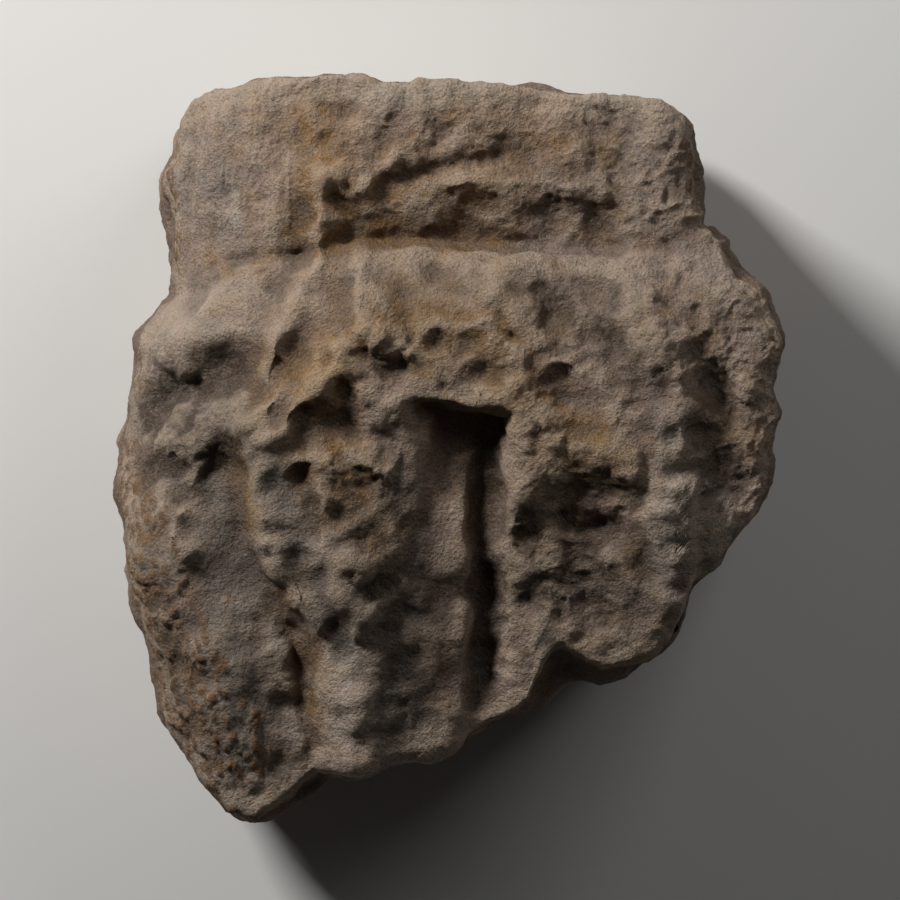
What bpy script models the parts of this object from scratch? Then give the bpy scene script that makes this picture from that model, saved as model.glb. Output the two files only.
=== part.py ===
"""A broken section of a carved limestone column, lying on its flat back with the carved face up.

The column's axis lies along Y, with the plain band at +Y and the break at -Y. +X is to the right as one
faces the carving, and +Z points out of the carved face. The origin is on the resting plane, under the
middle of the stone. The stone is one closed skin: rows of points around the section, run from the middle
of the break, up the sides, to the middle of the top bed. Its carving and damage are strokes, each a short
path with a width and a rise, laid on a grid of hundredths of the stone's height.
"""

import bpy
import numpy as np

# Driving sizes, in metres.
HEIGHT = 0.302              # along the column, from the tip of the break to the top of the band
BODY_WIDTH = 0.271          # across the swelling body
BAND_WIDTH = 0.217          # across the plain band
BAND_HEIGHT = 0.072         # from the sunk crease to the top of the band
BAND_SHIFT = -0.0055        # the band's middle lies this far to the right of the body's
DEPTH = 0.168               # from the flat back to the foremost lobe
BAND_SETBACK = 0.023        # the band's face lies this far behind the foremost lobe
SIDE_LINE = 0.046           # the stone is widest at this height above its back
CREASE_DEPTH = 0.004        # the sunk line between the band and the body
RECESS_DEPTH = 0.008        # how much further the square top of the hollow between the lobes is sunk
CHANNEL_DEPTH = 0.009       # the channel that runs down between the two middle lobes
SLOT_DEPTH = 0.006          # the narrow slot in the channel's bottom
FLUTE_DEPTH = 0.015         # the round-topped flute on the left
SIDE_DROP = 0.0025          # the plane to the right of the right lobe lies this far back
BAND_LEAN = 0.005           # the band's face leans back this much towards its top
BAND_UNDERCUT = 0.007       # the broken middle of the band falls back this far towards the crease
REST_PATCH = 0.022          # radius of the flat left in the middle of the back, on which the stone rests
EDGE_WEAR = 0.004           # radius of the worn edges round the bed and the break
BACK_HOLLOW = 0.011         # the deepest hollows in the split back
BED_DIP = 0.0079            # the dressed middle of the top bed lies this far under its broken edge

# The carving's own grid: hundredths of the height up from the tip, and as many across from the middle.
CREASE_UP = 76.2
BODY_SPAN = 89.7
ACROSS = BODY_WIDTH / BODY_SPAN
RISE = HEIGHT / 100

# How round the section is: 2 is a circle, and more is squarer.
FRONT_ROUND_ACROSS = 2.9
FRONT_ROUND_DEEP = 1.9
BACK_SQUARE = 4.6
# Where the front is flatter, its depth is raised to a power of 1 less these, never less than the last one.
TOP_SQUARER = 0.42
LOW_LEFT_SQUARER = 0.72
RIGHT_SQUARER = 0.95
LEAST_POWER = 0.06

BACK_BULGE = 1.08           # the back's corners swell this much past the resting plane before it cuts them

# A crest is rounded over this share of its narrower flank.
CREST_ROUNDING = 0.5
# Weather makes the carved lines wander: how far and over what size, in hundredths of the height, and by
# what share their strength comes and goes.
WANDER = 0.5
WANDER_SIZE = 5.0
FADING = 0.35
FADING_SIZE = 3.0
# The dents are worn shallower, to this share of their first fall.
DENT_SHARE = 0.5
# Width of the sunk crease, and how much further back the broken end lies at the flat back.
CREASE_WIDTH = 1.5
BREAK_SLANT = 5.0

# Roughness of the broken and weathered skin, in metres: the size of its swells and how far they rise.
BROAD_SIZE = 0.040
BROAD_RISE = 0.0030
LUMP_SIZE = 0.016
LUMP_RISE = 0.0018
BACK_SIZE = 0.055

# Mesh density of the solid.
COLUMNS = 300
ROWS = 150
CAP_RINGS = 34
SOLID_TRIANGLES = 9600
# The ends slant, so how far along a point lies depends on how far across it lies, and the other way round.
# The two are worked out in turn this many times, by when they no longer move.
SETTLING_PASSES = 12

# Outlines as the stone is seen from straight in front. Sides are (up, across), in hundredths of the
# body's or the band's own width from its middle, and ends are (across, up).
BODY_LEFT = [(0, -38.5), (10, -41.2), (20.5, -43.7), (30.5, -47.0), (38.4, -47.9), (44.4, -49.7),
             (50.3, -50.0), (54.3, -48.4), (59.3, -47.1), (64.2, -46.7), (68.2, -43.8), (71, -41.6),
             (76.2, -42.0)]
BODY_RIGHT = [(0, 37.5), (18, 40.0), (36.4, 42.3), (40.4, 44.6), (44.4, 47.0), (48, 48.2), (52, 48.0),
              (54.3, 49.1), (57, 47.9), (60, 48.6), (64.2, 50.0), (68.2, 48.6), (72.2, 45.3), (76.2, 41.7)]
BAND_LEFT = [(70, -50.0), (76.2, -50.0), (82, -50.0), (86, -50.6), (90, -49.0), (95, -48.0), (100, -46.5)]
BAND_RIGHT = [(70, 50.0), (76.2, 49.9), (82, 50.0), (86, 49.3), (90.1, 48.3), (94, 46.6), (100, 44.0)]
TOP_EDGE = [(-40, 92.5), (-36, 94.2), (-33.5, 96.0), (-29.6, 97.9), (-22.5, 99.1), (-16, 100), (-12, 99.6),
            (-7.5, 98.3), (-3, 98.8), (5.4, 98.7), (13.3, 97.3), (23.2, 96.2), (28, 95.2), (31, 93.6),
            (36, 91)]
BREAK_EDGE = [(-44, 22.0), (-36, 9.6), (-32.5, 4.8), (-29.2, 1.2), (-26, 0), (-21.1, 2.1), (-12.9, 6.1),
              (-3.6, 8.5), (1.5, 9.8), (5, 12.6), (12, 15.2), (15.4, 18.5), (21.5, 18.9), (27.7, 22.9),
              (30.5, 26.2), (32.2, 30.4), (35.5, 33.6), (37.8, 38), (43, 44)]
CREASE = [(-38, 70.6), (-29.1, 74.4), (-17.2, 75.8), (-6.6, 76.4), (6.7, 76.0), (19.9, 75.2), (27, 76.4),
          (33.2, 78.4)]
CREASE_STRENGTH = [(-38, 0.0), (-24, 0.15), (-17, 0.7), (6, 0.8), (14, 0.5), (22, 0.2), (34, 0.1)]
# How far the front stands out of the back, as a share of the depth, up the body.
BODY_SWELL = [(0, 0.76), (15, 0.815), (30, 0.87), (45, 0.925), (58, 0.955), (66, 0.945), (71, 0.915),
              (74, 0.885), (76.2, 0.86), (80, 0.83)]

# The flute: its right edge as (up, across) and its round top as (across, up).
FLUTE_RIGHT = [(0, -14.5), (12, -16), (23.4, -18.0), (26.8, -19.5), (31.7, -22.2), (38.3, -25.6),
               (44.6, -26.6), (49.9, -27.4), (56, -28.5)]
FLUTE_TOP = [(-46, 41), (-39, 44), (-35.5, 47.5), (-33, 50.6), (-30.5, 52.4), (-27.5, 52.6), (-25.5, 51),
             (-23, 46)]
# The edge of the right lobe, as (up, across), outside which the side plane lies back.
LOBE_EDGE = [(20, 31.4), (31.5, 31.3), (49.1, 31.5), (55.5, 31.1), (62.3, 29.4), (67.7, 27.2), (71, 25.6),
             (76, 24.5)]

# The recess: walls as (up, across) and its top as (across, up).
RECESS_LEFT = [(36, 0.2), (45, -1.0), (50, -1.8), (56, -3.2)]
RECESS_SHELF = [(36, -3.4), (45, -3.6), (56, -4.4)]
RECESS_RIGHT = [(36, 7.6), (45, 7.5), (50, 7.9), (56, 8.9)]
RECESS_TOP = [(-6, 56.6), (-2, 56.0), (3, 55.2), (9, 54.8)]
RECESS_FOOT = 41.0
# The channel's lowest line as (up, across), and how narrow it is on its left and right at each height.
CHANNEL_LINE = [(0, 4.2), (30, 4.2), (40, 4.3), (48, 5.2), (56, 6.2)]
CHANNEL_LEFT = [(0, 1.0), (25, 1.0), (45, 0.78), (56, 0.68)]
CHANNEL_RIGHT = [(0, 1.0), (30, 0.9), (42, 0.55), (56, 0.32)]
# Its section as (aside from that line, share of its depth).
CHANNEL_SECTION = [(-18, 0), (-15.5, 0.07), (-12.5, 0.27), (-9, 0.52), (-5.5, 0.72), (-2.5, 0.85),
                   (-0.8, 1), (1.2, 1), (2.6, 0.85), (5.5, 0.50), (9, 0.10), (13, 0)]


def smooth_through(value, points):
    """A smooth curve through (place, height) points: cubic pieces with the slopes of the neighbours."""
    place, height = np.array(points, float).T
    slope = np.gradient(height, place)
    index = np.clip(np.searchsorted(place, value) - 1, 0, len(place) - 2)
    span = place[index + 1] - place[index]
    share = np.clip((value - place[index]) / span, 0, 1)
    rest = 1 - share
    return (height[index] * rest * rest * (1 + 2 * share) + height[index + 1] * share * share * (1 + 2 * rest)
            + span * share * rest * (slope[index] * rest - slope[index + 1] * share))


def step(value, start, end):
    """Nought before start, one after end, and an even S-curve between."""
    share = np.clip((value - start) / (end - start), 0, 1)
    return share * share * (3 - 2 * share)


def noise(points, size, seed):
    """Gradient noise of about -1 to 1: random slopes at the corners of cubes of this size, blended."""
    cells = 32
    slopes = np.random.default_rng(seed).normal(size=(cells, cells, cells, 3))
    place = points / size
    corner = np.floor(place).astype(int)
    inside = place - corner
    blend = inside ** 3 * (inside * (inside * 6 - 15) + 10)
    total = np.zeros(points.shape[:-1])
    for offset in np.ndindex(2, 2, 2):
        at = (corner + offset) % cells
        slope = slopes[at[..., 0], at[..., 1], at[..., 2]]
        weight = np.prod(np.where(offset, blend, 1 - blend), axis=-1)
        total += weight * np.sum(slope * (inside - offset), axis=-1)
    return total


def layered_noise(points, size, layers, seed):
    """Noise on noise: each layer is half as large and half as strong as the one before."""
    return sum(noise(points, size / 2 ** layer, seed + layer) / 2 ** layer for layer in range(layers))


def stroke(across, up, path, width, rise):
    """A raised or sunk mark along a path: its rise times exp(-(distance / width) squared)."""
    path = np.array(path, float)
    nearest = np.full(across.shape, np.inf)
    ends = zip(path, path[1:]) if len(path) > 1 else [(path[0], path[0])]
    for start, end in ends:
        along = end - start
        length = max(float(along @ along), 1e-9)
        share = np.clip(((across - start[0]) * along[0] + (up - start[1]) * along[1]) / length, 0, 1)
        gap = (across - start[0] - share * along[0]) ** 2 + (up - start[1] - share * along[1]) ** 2
        nearest = np.minimum(nearest, gap)
    return rise * np.exp(-nearest / width ** 2)


def spine(across, up, path, left, right, rise):
    """A crest along a path: its rise times exp(-distance / width), with a width of its own on each side."""
    path = np.array(path, float)
    nearest = np.full(across.shape, np.inf)
    side = np.zeros(across.shape)
    for start, end in zip(path, path[1:]):
        along = end - start
        share = np.clip(((across - start[0]) * along[0] + (up - start[1]) * along[1]) / (along @ along), 0, 1)
        off_across = across - start[0] - share * along[0]
        off_up = up - start[1] - share * along[1]
        gap = off_across ** 2 + off_up ** 2
        turn = (along[0] * off_up - along[1] * off_across) / np.sqrt(along @ along)
        side = np.where(gap < nearest, turn, side)
        nearest = np.minimum(nearest, gap)
    distance = np.sqrt(nearest)
    leftward = 0.5 + 0.5 * np.clip(side / np.maximum(distance, 1e-6), -1, 1)
    width = right + (left - right) * leftward
    rounding = min(left, right) * CREST_ROUNDING
    return rise * np.exp((rounding - np.sqrt(nearest + rounding ** 2)) / width)


# The carving and the damage, all in hundredths of the stone's height. A swell is a broad rounded form: a path
# of (across, up) places, a width and a rise.
SWELLS = [
    # the shoulder left of the folds, and the two folds with their valleys
    ([(-35.7, 65.3), (-28.4, 63.3)], 6.0, 1.6),
    ([(-19.8, 74.2), (-22.2, 70.6), (-24, 67), (-25.8, 63), (-26.8, 58.3)], 2.2, -1.0),
    ([(-13.8, 69.9), (-18.2, 64.4), (-21.1, 60), (-21.9, 56.4)], 2.6, -0.6),
    # the dished top of the body between the folds and the right lobe
    ([(-5.9, 71), (-1.3, 71.3), (2.7, 69.9)], 2.6, -0.8),
    ([(-1.3, 73.1)], 1.8, -0.8),
    # the knob and the hollows round it
    ([(-8.7, 64)], 1.2, 0.9),
    ([(-10.3, 61.7), (-7.6, 60.1)], 1.9, -1.3),
    ([(-5.1, 60.1)], 1.3, -0.6),
    ([(-1.3, 63.6), (2.7, 63.3)], 1.8, -0.8),
    ([(8.8, 64.2)], 1.5, -0.7),
    ([(4.7, 59.6), (7.4, 57.7)], 1.6, -0.7),
    # the dark hollow to the right of the left lobe's upper crest
    ([(-17.7, 52.2), (-13.4, 53)], 3.0, -1.7),
    ([(-11.2, 51.4), (-7.9, 51.1)], 1.8, -0.8),
    ([(-18.5, 49.4), (-18.2, 46.1)], 1.6, -0.7),
    ([(-23.1, 46.1)], 1.4, -0.6),
    # the niche over the flute, and the hollow at its left
    ([(-28.8, 60.7), (-32, 58.8), (-35.4, 56.4)], 3.4, -3.8),
    ([(-38.3, 53.4)], 2.0, -0.9),
    ([(-37, 46.9), (-39.4, 46.1)], 2.6, -1.8),
    ([(-34.6, 53.2), (-31.5, 54.3), (-28, 54)], 1.9, 1.4),
    ([(-37.3, 50.6)], 1.6, 1.0),
    # the left rim beside the flute
    ([(-41, 50.1), (-39.7, 40.8)], 4.0, 0.8),
    ([(-35, 36.6)], 1.8, 0.8),
    # the flank of the left lobe
    ([(-15.2, 31.5), (-14.5, 26.9)], 1.7, -0.8),
    ([(-15.8, 42.8), (-16.5, 36.8)], 1.6, 0.6),
    # the right lobe's grooves, hollows and swelling
    ([(12, 70.2), (13, 67.5)], 1.5, -0.7),
    ([(13.6, 66.1), (17.9, 64.9), (22.1, 63.3)], 2.0, -0.9),
    ([(17.3, 71.3), (19.9, 69.4)], 1.5, -0.7),
    ([(15.2, 68.3)], 1.8, -0.8),
    ([(22.3, 61.2), (24.2, 57.5)], 2.8, -1.3),
    ([(26.6, 69.9), (25.2, 65.3), (27.2, 60.7)], 3.0, 1.0),
    ([(9.3, 57.4), (14.6, 53.4)], 3.5, 0.6),
    ([(15, 49), (17, 47.2)], 1.7, -0.8),
    ([(17.9, 44.5)], 1.6, -0.7),
    ([(21, 45.6), (25.2, 43.4)], 2.0, -0.6),
    ([(11.3, 39.7), (10.7, 37.5)], 2.3, -1.0),
    ([(21, 39.5), (21.8, 32.8), (19.9, 26.9)], 5.5, -1.8),
    ([(9.3, 46.1), (10, 35.5)], 3.5, 0.8),
    ([(10.4, 29.4)], 1.3, -0.6),
    ([(28.9, 43.4), (28.9, 27.5)], 2.6, 1.0),
    # the plane on the far right
    ([(34.8, 57.7), (38.2, 54.3)], 2.6, -1.3),
    ([(34.2, 49.8), (37.4, 47.4)], 2.6, -1.2),
    ([(39.1, 57.4), (39.8, 47.4)], 2.0, 1.2),
    ([(36.5, 40.8)], 4.0, 1.0),
    ([(37.8, 64.6)], 2.0, -0.6),
    ([(38.2, 71.9)], 4.0, 0.8),
    # the band
    ([(-14.5, 98)], 2.4, -0.6),
    ([(-17.4, 91.1), (-13.8, 93.8)], 2.0, -0.6),
    ([(-13.2, 88.7)], 1.2, -0.5),
    ([(-19.8, 80.3), (-19.4, 75.5)], 1.8, -0.8),
    ([(-7.6, 84.6), (-3.2, 86.1), (1.4, 87), (6, 87.7)], 1.7, -1.3),
    ([(8.7, 87.7), (10, 86.9)], 1.4, -0.6),
    ([(-1.3, 90.9), (0.7, 91.4)], 1.4, -0.6),
    ([(16, 82.5), (19.9, 78.5)], 3.0, -0.9),
    ([(22.8, 92.5), (24.6, 90.5), (23.2, 87.8)], 1.5, -0.7),
    ([(28.5, 95.1), (29.2, 80.5)], 4.0, 0.6),
    ([(2.7, 94.4), (14.6, 91.8)], 3.0, 0.8),
    # the foot of the left lobe and the floor of the channel
    ([(-1.3, 18.3), (0.7, 13)], 2.2, 0.7),
    ([(-6.6, 16.3)], 1.6, -0.7),
    ([(-5.5, 28.6), (-3.4, 27.5)], 0.9, -0.4),
]
# A spine is a crest with two unlike flanks: a path, the width on its left and on its right as one goes along
# it, and a rise.
SPINES = [
    # the fold that runs down from the crease, bright on its left
    ([(-16.9, 75), (-18.7, 71.3), (-21.4, 67.5), (-23, 63.3), (-24, 58.3), (-24.6, 53.4)], 3.2, 1.5, 1.5),
    # the crest that bounds the middle of the face on the left
    ([(-10.8, 74.2), (-11.6, 69.9), (-11.9, 65.3), (-15.2, 59.6), (-19.5, 55.6),
      (-22.7, 51.7)], 2.2, 1.8, 1.9),
    # the left lobe's long crest
    ([(-21.8, 50.7), (-19.8, 46.1), (-17.2, 40.8), (-13.8, 33.5)], 5.0, 6.0, 1.9),
    ([(-13.8, 33.5), (-12.6, 29.5), (-11.6, 24.9), (-11.3, 17), (-12.4, 8.3)], 2.8, 5.2, 1.7),
    # the groove beside the lobe's foot
    ([(-19.8, 24.9), (-18.2, 18.3), (-17.2, 11.7), (-16.6, 5.7)], 1.8, 1.8, -1.2),
    # the edge between the flute and the left lobe
    ([(-26.2, 51.4), (-25.6, 44.8), (-24.7, 39.5), (-23.2, 33.9), (-20.6, 28.6)], 1.6, 1.3, 1.0),
    # the edge of the lens-shaped groove in the flute's wall
    ([(-21.7, 24.9), (-20.6, 18.3), (-19.4, 10.3), (-17.9, 5)], 1.0, 1.4, 0.9),
    ([(-19.8, 30.2), (-17.2, 24.2), (-15.8, 18.9), (-17.4, 13.6)], 1.0, 1.2, 0.7),
    # the crest left of the flute's floor
    ([(-32.8, 46.4), (-34.4, 42.4), (-36.5, 37.9)], 1.5, 1.8, 1.6),
    # the right lobe's raised rim
    ([(5.1, 69.3), (6.7, 72.8), (10.7, 75), (16.6, 74.6), (20.3, 72.3), (25.5, 70.2), (28.1, 66),
      (29.9, 62), (31.1, 55.4), (31.3, 47.4), (31.2, 30.2)], 2.4, 4.0, 1.5),
    ([(5.6, 69.7), (8, 71.3), (12.6, 72.1)], 1.0, 1.6, 0.7),
    # the right lobe's scarp, steep on its lower left
    ([(9.3, 57), (12, 53.4), (14.6, 50.3), (17.7, 48.5), (22.6, 47.4), (25.5, 44.5),
      (26.6, 41.5)], 5.0, 2.4, 1.7),
    ([(7.4, 52.7), (12, 47.4), (9.3, 40.8)], 2.0, 2.5, 0.6),
    # the thin winding ridges over the recess
    ([(-5, 62.5), (-3.2, 64.1), (-1.7, 65.7), (2.7, 65.7), (5.4, 66.9), (9.3, 66.2), (12.1, 63.8),
      (13, 61.9), (16.2, 60.5), (18.9, 58.5), (22.8, 56.4)], 2.2, 1.1, 0.8),
    ([(-1.8, 63.2), (0.1, 61.5), (1.7, 60.3), (3.2, 61.5), (4.7, 63), (7.5, 63.7),
      (9.9, 61.7)], 1.6, 1.1, 0.9),
    # ledges on the left lobe
    ([(-15.2, 47.2), (-11.2, 47.4), (-8.1, 46)], 1.4, 0.8, 0.9),
    ([(-19.1, 47.9), (-15.6, 48.3)], 1.2, 0.8, 0.6),
    ([(-10.8, 56.2), (-6.8, 55.1)], 1.4, 0.8, 0.5),
    ([(-4.6, 63), (-5.9, 69.1), (-0.6, 67)], 0.8, 0.8, -0.5),
    # the band's diagonal ridge, the long ridge under it, and the upright one
    ([(-2.2, 94.8), (-4.4, 90.5), (-6.6, 87.2), (-10, 84.2)], 1.3, 2.2, 1.2),
    ([(0.7, 84.2), (4, 84.9), (10.7, 84.9), (20.2, 83.7)], 2.0, 1.2, 0.9),
    ([(-15.8, 85.6), (-16.6, 80.5), (-17.4, 75.5)], 1.2, 1.4, 0.9),
    ([(-7.6, 95.4), (-11.1, 91.1), (-13.8, 87.2)], 0.9, 1.6, 0.6),
    ([(-13.8, 79.9), (-6.6, 81.3), (-2.2, 82.4)], 1.6, 1.2, 0.6),
    # small marks on the right lobe
    ([(14.9, 40.5), (17.3, 39.3), (19.9, 39.9)], 0.8, 0.8, -0.8),
    ([(21.3, 35.5), (23.6, 32.8)], 1.2, 1.0, 0.8),
]
# A dent is a small hollow or a groove: a path, a width and a fall.
DENTS = [
    ([(-19.7, 95.6), (-19.4, 92.7)], 1.1, 1.3),
    ([(-29.3, 83.4), (-28.7, 81.6), (-26.7, 81.3)], 0.6, 0.5),
    ([(-28, 86.5), (-28.4, 85)], 0.6, 0.5),
    ([(-2.6, 79.3)], 0.7, 0.7),
    ([(6.3, 77)], 0.7, -0.6),
    ([(-19.7, 75.8)], 0.8, 0.8),
    ([(19.5, 77.4)], 0.8, 0.8),
    ([(-28.9, 63.3)], 0.7, 1.2),
    ([(-29.3, 55.6), (-28.3, 54)], 0.9, 1.2),
    ([(-32.6, 58.7)], 0.8, 0.8),
    ([(-19.4, 45.7), (-17.9, 42.6)], 0.8, 1.9),
    ([(-16.4, 40.3), (-15.7, 38.7)], 0.7, 1.0),
    ([(-19.8, 36)], 0.7, 0.9),
    ([(-13.8, 26.2)], 0.8, 0.8),
    ([(-36, 35.1)], 0.8, 0.9),
    ([(-14.8, 19.6)], 0.7, 0.7),
    ([(-17.4, 17), (-18.2, 20.9)], 0.8, 0.8),
    ([(-28.3, 15.2), (-28.3, 6)], 0.5, 0.35),
    ([(-24.7, 15.2), (-24.3, 9)], 0.5, 0.3),
    ([(-30.4, 11.8), (-30.1, 10.1)], 0.5, 1.0),
    ([(-6, 15.6)], 0.9, 0.8),
    ([(0.3, 13.5)], 0.7, 0.9),
    ([(5.2, 60.7)], 0.7, 0.9),
    ([(25.2, 73.2)], 0.9, 1.1),
    ([(28.9, 64.4), (29.6, 63)], 0.8, 1.2),
    ([(26.3, 51.7), (23.2, 53)], 0.6, 0.8),
    ([(17.3, 54.7)], 0.8, 0.7),
    ([(9.2, 48.6), (9.9, 46.1)], 0.8, 1.0),
    ([(8.3, 45.8)], 0.8, 0.9),
    ([(11.1, 40.5)], 0.8, 1.0),
    ([(12, 37.7), (10.4, 37.5)], 0.9, 0.9),
    ([(24.7, 41.5)], 0.8, 1.2),
    ([(27, 40.4)], 0.6, 0.8),
    ([(28.1, 36.6), (28.9, 33.9)], 0.7, 0.8),
    ([(28.1, 26.5)], 0.8, 0.8),
    ([(17.9, 24.9)], 1.0, 0.9),
    ([(32.8, 56)], 0.8, 1.2),
    ([(34.4, 64.1), (36, 65.8), (37.3, 66.5)], 1.0, 0.7),
    ([(36.1, 46.1), (38.5, 44.5)], 1.0, 1.2),
    ([(33.8, 47.4)], 0.8, 1.0),
    ([(39.8, 50.7), (40.7, 47.4)], 0.8, 1.0),
    ([(32.1, 70.2), (33.2, 71.9)], 0.8, 0.5),
]
# How far the front edge of the break stands back above the lowest edge seen, as (across, up).
BREAK_LIFT = [(-44, 0.5), (-28, 1.4), (-24, 1.2), (-20.5, 1.5), (-17.3, 2.8), (-12.9, 1.0), (-5, 0.6),
              (8, 0.6), (10.5, 1.5), (13, 6.0), (16.8, 3.7), (21.5, 1.9), (25, 1.0), (44, 0.8)]


def up_of(y):
    """Height on the carving's grid of a place this far along the stone from the tip."""
    return np.interp(y, [0, HEIGHT - BAND_HEIGHT, HEIGHT], [0, CREASE_UP, 100])


def along_of(up):
    """Place along the stone, from the tip, of a height on the carving's grid."""
    return np.interp(up, [0, CREASE_UP, 100], [0, HEIGHT - BAND_HEIGHT, HEIGHT])


def outline(up):
    """The left and right edge of the stone in metres, at each height on the carving's grid."""
    left_crease = CREASE[0][1]
    right_crease = CREASE[-1][1]
    in_band_left = step(up, left_crease - 1, left_crease + 1)
    in_band_right = step(up, right_crease - 1.2, right_crease + 1.2)
    body_left = smooth_through(up, BODY_LEFT) / 100 * BODY_WIDTH
    body_right = smooth_through(up, BODY_RIGHT) / 100 * BODY_WIDTH
    band_left = BAND_SHIFT + smooth_through(up, BAND_LEFT) / 100 * BAND_WIDTH
    band_right = BAND_SHIFT + smooth_through(up, BAND_RIGHT) / 100 * BAND_WIDTH
    return (body_left + (band_left - body_left) * in_band_left,
            body_right + (band_right - body_right) * in_band_right)


def front_height(across, up):
    """Height of the foremost line of the section over the back: the body swells under the sagging crease."""
    below_crease = up + CREASE_UP - smooth_through(across, CREASE)
    body = smooth_through(np.clip(below_crease, 0, 80), BODY_SWELL) * DEPTH
    band = DEPTH - BAND_SETBACK - BAND_LEAN * step(up, CREASE_UP, 104)
    return body + (band - body) * step(below_crease, CREASE_UP - 1.0, CREASE_UP + 1.0)


def fuller(deep, across, up):
    """The section's depth, squarer where the front is flatter: at the top, low on the left, on the right."""
    top = step(up, 54, 66)
    low_left = step(-across, 12, 24) * (1 - 0.6 * step(up, 34, 54) - 0.4 * step(up, 54, 66))
    right = step(across, 8, 24)
    power = 1 - TOP_SQUARER * top - LOW_LEFT_SQUARER * low_left - RIGHT_SQUARER * right
    return np.clip(deep, 0, 1) ** np.maximum(power, LEAST_POWER)


def break_up(across, deep):
    """Height on the carving's grid of the broken end, which is lowest a little behind the carved face."""
    lift = smooth_through(across, BREAK_LIFT) * step(deep, 0.55, 1.0)
    slant = BREAK_SLANT * step(-deep, -0.3, 1.0)
    return smooth_through(across, BREAK_EDGE) + lift + slant


def bed_up(across, deep):
    """Height on the carving's grid of the top bed's edge, a little worn down at the carved face."""
    return smooth_through(across, TOP_EDGE) - 0.9 * step(deep, 0.75, 1.0) - 1.5 * step(-deep, 0.2, 1.0)


def recess(across, up):
    """How far the square-topped recess is sunk, from 0 to 1: a product of S-curves across its walls."""
    left = smooth_through(up, RECESS_LEFT)
    shelf = smooth_through(up, RECESS_SHELF)
    right = smooth_through(up, RECESS_RIGHT)
    top = smooth_through(across, RECESS_TOP)
    left_wall = 0.6 * step(across, left - 0.6, left + 1.6) + 0.4 * step(across, shelf - 0.8, left + 0.6)
    right_wall = 1 - step(across, right - 1.2, right + 0.9)
    top_wall = 1 - step(up, top - 1.0, top + 0.4)
    foot = step(up, RECESS_FOOT - 3.0, RECESS_FOOT + 11)
    return left_wall * right_wall * top_wall * foot


def channel(across, up):
    """How far the channel is sunk, from 0 to 1: its section, narrower at each height, up to the recess."""
    aside = across - smooth_through(up, CHANNEL_LINE)
    narrow = np.where(aside < 0, smooth_through(up, CHANNEL_LEFT), smooth_through(up, CHANNEL_RIGHT))
    top = smooth_through(across, RECESS_TOP)
    sunk = smooth_through(np.clip(aside / narrow, -18, 13), CHANNEL_SECTION)
    return sunk * (1 - step(up, top - 1.0, top + 0.6))


def slot(across, up):
    """The narrow slot in the channel's bottom, from 0 to 1: upright on its left, sloping up on its right."""
    aside = across - smooth_through(up, CHANNEL_LINE)
    slot_section = step(aside, -1.2, -0.3) * (1 - step(aside, 1.0, 4.4))
    return slot_section * step(up, 8, 20) * (1 - step(up, 42, 52))


def flute(across, up):
    """How far the round-topped flute on the left is sunk, from 0 to 1: deepest along its steep right side."""
    right = smooth_through(up, FLUTE_RIGHT)
    top = smooth_through(across, FLUTE_TOP)
    underside = 1 - 0.2 * step(up, top - 0.5, top + 7) - 0.8 * step(up, top - 3.6, top + 0.6)
    tilt = 1 - (0.85 - 0.35 * step(up, 40, 50)) * step(right - across, 1, 17)
    wall = 1 - step(across, right - 2.0 - 1.5 * step(-up, -40, -15), right + 2.2)
    return wall * underside * tilt


def worn_lines(across, up):
    """The same places moved a little, so that the carved lines wander as worn edges do."""
    place = np.stack([across, up, 0 * up], axis=-1)
    return (across + WANDER * layered_noise(place, WANDER_SIZE, 2, seed=41),
            up + WANDER * layered_noise(place, WANDER_SIZE, 2, seed=51),
            1 + FADING * noise(place, FADING_SIZE, seed=61))


def sunk_parts(across, up):
    """How far the crease, the side plane and the band's broken middle lie back, in metres."""
    below_crease = up + CREASE_UP - smooth_through(across, CREASE)
    crease = np.exp(-((below_crease - CREASE_UP) / CREASE_WIDTH) ** 2)
    crease = crease * smooth_through(across, CREASE_STRENGTH)
    side = step(across - smooth_through(up, LOBE_EDGE), -0.5, 4.5) * (1 - step(below_crease, 58, 74))
    broken = step(across, -17.5, -13) * (1 - step(across, 19, 27)) * step(below_crease, 75.5, 77.5)
    undercut = 1.3 - step(below_crease, 77, 85.5)
    return CREASE_DEPTH * crease + SIDE_DROP * side + BAND_UNDERCUT * broken * undercut


def hollows(across, up):
    """How far the recess, the channel, its slot and the flute lie back, in metres."""
    return (RECESS_DEPTH * recess(across, up) + CHANNEL_DEPTH * channel(across, up)
            + SLOT_DEPTH * slot(across, up) + FLUTE_DEPTH * flute(across, up))


def relief(across, up):
    """How far the carved face stands out of the swelling body, in metres, at places on the carving's grid."""
    worn_across, worn_up, strength = worn_lines(across, up)
    forms = sum(stroke(across, up, *swell) for swell in SWELLS)
    crests = sum(spine(worn_across, worn_up, *crest) for crest in SPINES)
    dents = DENT_SHARE * sum(stroke(worn_across, worn_up, *dent) for dent in DENTS)
    halfway = ((across + worn_across) / 2, (up + worn_up) / 2)
    return RISE * (forms + strength * (crests - dents)) - sunk_parts(across, up) - hollows(*halfway)


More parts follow.
